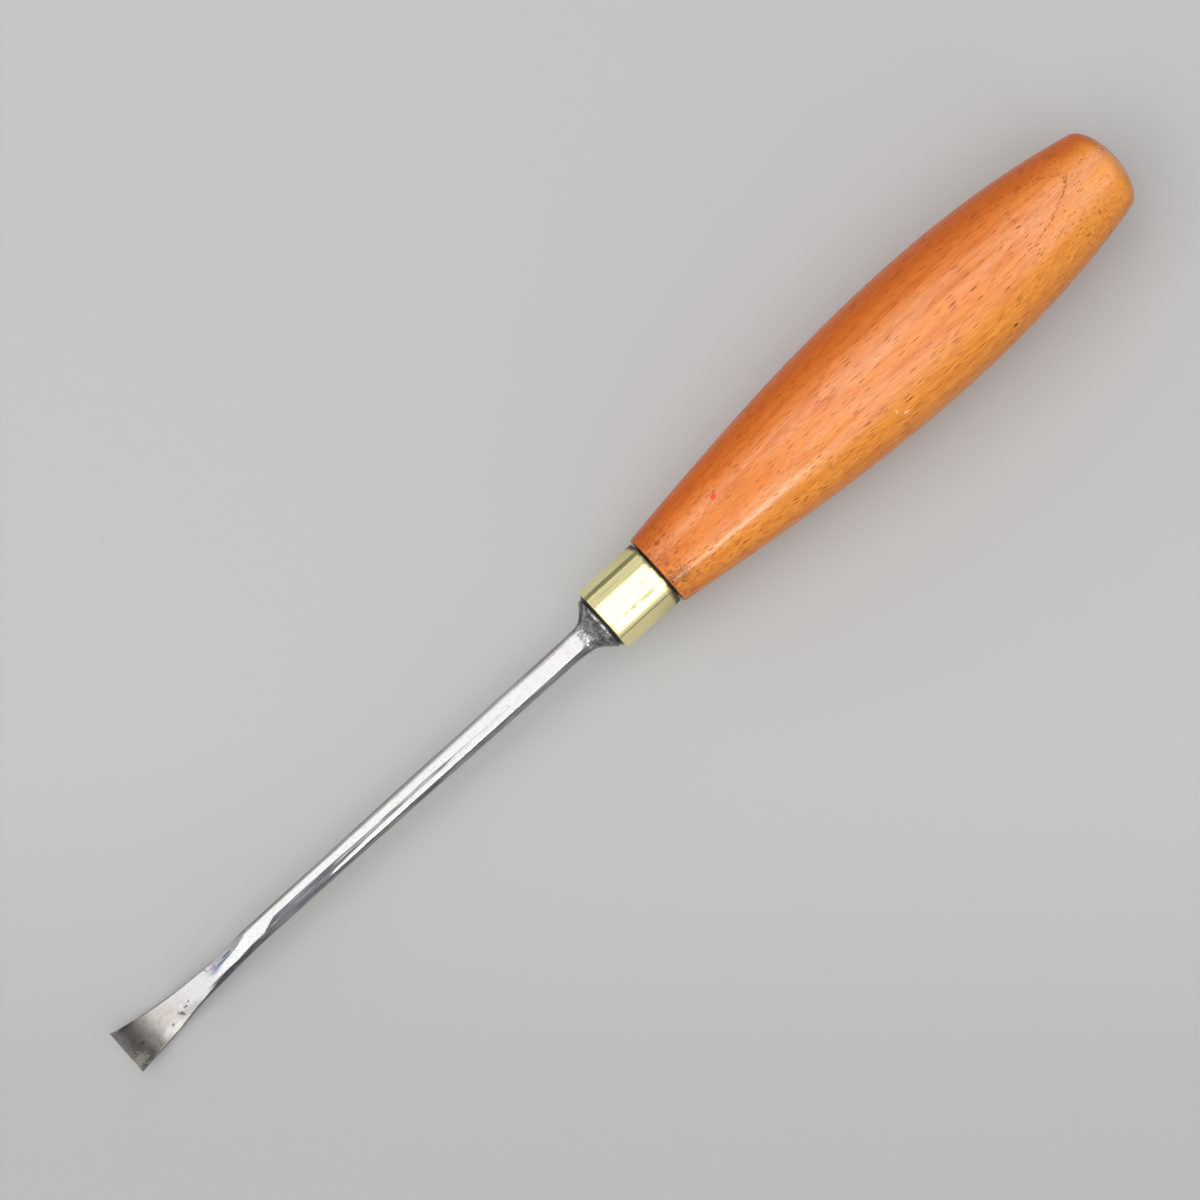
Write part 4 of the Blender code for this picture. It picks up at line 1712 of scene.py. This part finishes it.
    def marks(self) -> list[Mark]:
        """Heat colours, rust, wear and pits on the steel, with painted light and shade among them.

        Painted shade darkens the neck's near wall and the shank's far lower edge; painted dark
        reflections and painted highlights lie on the spoon near its tip.
        """
        marks = [
            Mark((110.8, -1.0, -0.4), (4.6, 1.9, 3.0), (0.58, 0.58, 0.70), 0.7, 0.9),
            Mark((113.6, -0.9, -1.1), (1.9, 1.9, 2.8), (0.31, 0.31, 0.33), 0.65, 0.6),
            Mark((112.6, -0.1, -0.8), (2.4, 0.8, 2.5), (0.25, 0.27, 0.39), 0.75, 0.5),
            Mark((109.4, 0.05, 0.2), (3.4, 0.36, 1.4), (0.33, 0.39, 0.43), 0.7, 0.5),
            # Painted shade: dark along the neck's near wall.
            Mark((112.4, 1.59, -0.5), (6.5, 0.34, 2.8), (0.08, 0.08, 0.085), 0.9, 0.3),
            Mark((109.3, -0.90, 0.2), (1.8, 0.22, 1.2), (0.10, 0.06, 0.055), 0.85, 0.4),
            Mark((109.7, -0.40, 0.0), (3.0, 0.26, 1.4), (0.15, 0.17, 0.27), 0.8, 0.5),
            Mark((113.2, -0.85, -1.0), (0.9, 0.20, 1.2), (0.20, 0.13, 0.13), 0.6, 0.4),
            Mark((97.0, -2.0, 1.3), (14.0, 0.55, 1.4), (0.23, 0.12, 0.085), 0.6, 1.4),
            Mark((54.0, -1.35, 2.0), (36.0, 0.36, 1.2), (0.28, 0.262, 0.25), 0.45, 1.0),
            # Painted shade: a dark line along the shank's far lower edge.
            Mark((67.0, -2.08, 1.4), (19.0, 0.24, 1.5), (0.04, 0.035, 0.035), 0.85, 0.5),
            Mark((27.0, -1.5, 2.0), (10.0, 0.6, 1.4), (0.235, 0.215, 0.2), 0.75, 1.0),
            Mark((121.6, 1.85, -3.9), (4.8, 1.0, 3.0), (0.285, 0.28, 0.27), 0.7, 2.0),
            # Painted dark reflection towards the tip, in a warm stain colour, with a ragged darker part.
            Mark((132.3, -0.8, -3.6), (6.2, 9.0, 5.0), (0.41, 0.380, 0.355), 0.8, 1.0),
            Mark((132.2, -1.8, -3.4), (2.6, 5.8, 2.8), (0.26, 0.240, 0.218), 0.65, 2.4),
            Mark((128.0, 0.4, -4.2), (8.5, 7.0, 5.0), (0.345, 0.312, 0.284), 0.75, 0.5),
            # Painted highlight: a lighter warm patch on the spoon's near rim.
            Mark((126.6, 2.3, -4.2), (3.4, 1.5, 3.0), (0.50, 0.475, 0.435), 0.8, 1.0),
            Mark((129.8, 1.8, -4.3), (1.1, 2.0, 2.0), (0.22, 0.20, 0.18), 0.45, 2.6),
            # Painted highlight at the tip.
            Mark((137.0, -1.5, -2.0), (3.4, 6.5, 3.5), (0.68, 0.645, 0.600), 0.85, 1.2),
            Mark((132.9, -4.0, -3.6), (2.4, 0.75, 2.4), (0.11, 0.106, 0.098), 0.7, 1.0),
            Mark((132.6, 3.2, -3.4), (1.7, 1.5, 2.2), (0.20, 0.18, 0.168), 0.55, 2.2),
            # Painted reflection: a bright beige patch by the near corner of the tip.
            Mark((134.9, 2.7, -2.4), (2.2, 1.6, 2.4), (1.00, 0.92, 0.80), 1.0, 2.4),
        ]
        return marks + [pit.mark() for pit in self.pits()]

    def build(self, tool: ToolFrame, effects: Effects) -> None:
        """Forges the blade and dresses it.

        Args:
            tool: Where the tool lies.
            effects: The shared groups.
        """
        rings = self.tang_rings() + self.bolster_rings() + self.shank_rings() + self.spoon_rings()
        mesh = self.skin(rings)
        finish_mesh(mesh, tool)
        mesh.materials.append(self.finish.material(tool, effects, self.marks()))
        attach(put_in_scene(self.name, mesh), self.node)


class LampRole(Enum):
    """What a studio lamp is there for."""

    KEY_EDGE = "outer part of the soft panel overhead"
    KEY_BODY = "middle part of the soft panel"
    KEY_CORE = "bright part of the soft panel"
    FORE = "panel over the blade"
    NEAR = "panel on the near side"
    FILL = "dim panel on the far side"
    STREAK = "narrow strip for the streak along the grip"
    END = "narrow strip for the butt"


@dataclass(frozen=True)
class Lamp:
    """A flat lamp seen from the tool under given angles, in degrees from the zenith."""

    role: LampRole
    along: float
    aside: float
    half_along: float
    half_aside: float
    radiance: float
    turn: float = 0.0
    shadow: bool = True

    def build(self, distance: float) -> None:
        """Hangs the lamp over the tool.

        Args:
            distance: How far off it hangs, in metres.
        """
        along, aside = (math.tan(math.radians(angle)) for angle in (self.along, self.aside))
        back = Vector((along, aside, 1.0)).normalized()
        right = (Vector((1, 0, 0)) - back * back.x).normalized()
        up = back.cross(right)
        light = bpy.data.lights.new("lamp_" + self.role.name.lower(), "AREA")
        light.shape = "RECTANGLE"
        light.size = 2 * distance * math.tan(math.radians(self.half_along))
        light.size_y = 2 * distance * math.tan(math.radians(self.half_aside))
        light.energy = self.radiance * math.pi * light.size * light.size_y
        light.use_shadow = self.shadow
        lamp = put_in_scene(light.name, light)
        turn = Matrix((right, up, back)).transposed() @ Matrix.Rotation(math.radians(self.turn), 3, "Z")
        lamp.matrix_world = Matrix.Translation(back * distance) @ turn.to_4x4()
        LOG.info("lamp: %s", self.role.value)


@dataclass(frozen=True)
class Studio:
    """The bench, the lamps and the camera."""

    floor_size: float = 30.0
    floor_colour: Colour = (0.450, 0.449, 0.445)
    floor_shade: Colour = (0.394, 0.393, 0.390)
    floor_roughness: float = 0.7
    floor_gloss: float = 0.1
    fall_way: Place = (0.673, 0.740, 0.0)
    floor_fall: Range = (0.02, 0.11)
    haze: Range = (0.15, 0.55, 0.60, 0.15)
    lamp_distance: float = 4.0
    lamps: tuple[Lamp, ...] = (
        Lamp(LampRole.KEY_EDGE, 14.0, 9.0, 48.0, 71.0, 0.20),
        Lamp(LampRole.KEY_BODY, 18.0, -3.0, 42.0, 40.0, 0.30),
        Lamp(LampRole.KEY_CORE, 11.0, -1.0, 20.0, 35.0, 1.42),
        Lamp(LampRole.FORE, 45.0, -1.0, 16.0, 27.0, 1.45),
        Lamp(LampRole.NEAR, 3.0, 53.0, 8.0, 19.0, 1.45),
        Lamp(LampRole.FILL, 0.0, -60.0, 62.0, 17.0, 0.38),
        Lamp(LampRole.STREAK, 15.0, 56.5, 2.2, 6.5, 36.0, -28.0, shadow=False),
        Lamp(LampRole.END, -31.0, 34.0, 7.0, 5.0, 7.5, shadow=False),
    )
    target: Place = (0.00272, -0.00306, 0.012)
    distance: float = 0.9
    azimuth: float = 151.24
    elevation: float = 81.70
    roll: float = -13.34
    lens: float = 142.15
    sensor: float = 36.0

    def floor(self) -> None:
        """Lays the pale floor, painted darker along one direction as painted shade of the lamps'
        falloff.
        """
        material, wiring, shader = new_material("pale_bench")
        place = wiring.add("ShaderNodeTexCoord").outputs["Object"]
        # Painted shade: the floor darkens along fall_way.
        fall = wiring.span(wiring.measure("DOT_PRODUCT", place, self.fall_way), *self.floor_fall)
        colour = wiring.blend(fall, self.floor_colour, self.floor_shade)
        wiring.tree.links.new(colour, shader.inputs["Base Color"])
        shader.inputs["Roughness"].default_value = self.floor_roughness
        shader.inputs["Specular IOR Level"].default_value = self.floor_gloss
        half = self.floor_size / 2
        corners = [(-half, -half, 0), (half, -half, 0), (half, half, 0), (-half, half, 0)]
        mesh = bpy.data.meshes.new("bench")
        mesh.from_pydata(corners, [], [(0, 1, 2, 3)])
        mesh.materials.append(material)
        bench = put_in_scene("bench", mesh)

    def surroundings(self) -> None:
        """Gives the room a dim even light that is stronger near the floor."""
        world = bpy.data.worlds.new("studio")
        world.use_nodes = True
        wiring = Wiring(world.node_tree)
        direction = wiring.add("ShaderNodeTexCoord").outputs["Generated"]
        up = wiring.add("ShaderNodeSeparateXYZ", {0: direction}).outputs[2]
        backdrop = world.node_tree.nodes["Background"]
        backdrop.inputs["Color"].default_value = (1.0, 1.0, 1.0, 1.0)
        level = wiring.span(up, *self.haze)
        world.node_tree.links.new(level, backdrop.inputs["Strength"])
        bpy.context.scene.world = world

    def camera(self) -> None:
        """Sets the camera where the photograph was taken from."""
        azimuth = math.radians(self.azimuth)
        elevation = math.radians(self.elevation)
        roll = math.radians(self.roll)
        level = math.cos(elevation)
        back = Vector((level * math.sin(azimuth), -level * math.cos(azimuth), math.sin(elevation)))
        right = Vector((0, 0, 1)).cross(back).normalized()
        up = back.cross(right)
        across = right * math.cos(roll) + up * math.sin(roll)
        upwards = up * math.cos(roll) - right * math.sin(roll)
        data = bpy.data.cameras.new("camera")
        data.sensor_width = self.sensor
        data.lens = self.lens
        camera = put_in_scene("camera", data)
        turn = Matrix((across, upwards, back)).transposed().to_4x4()
        camera.matrix_world = Matrix.Translation(Vector(self.target) + back * self.distance) @ turn
        bpy.context.scene.camera = camera

    def build(self) -> None:
        """Sets up everything round the tool."""
        self.floor()
        self.surroundings()
        for lamp in self.lamps:
            lamp.build(self.lamp_distance)
        self.camera()
        bpy.context.scene.view_settings.view_transform = "Standard"


def main() -> None:
    """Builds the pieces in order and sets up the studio."""
    logging.basicConfig(level=logging.INFO, format="%(message)s")
    low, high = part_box("handle")
    handle = Handle(belly_radius=(high.y - low.y) / 2 / MM)
    tool = ToolFrame.from_butt(frame["record"], handle.length)
    effects = Effects()
    lathe = Lathe()
    handle.build(lathe, tool, effects)
    Ferrule().build(lathe, tool, effects)
    Blade().build(tool, effects)
    Studio().build()


if __name__ == "__main__":
    main()
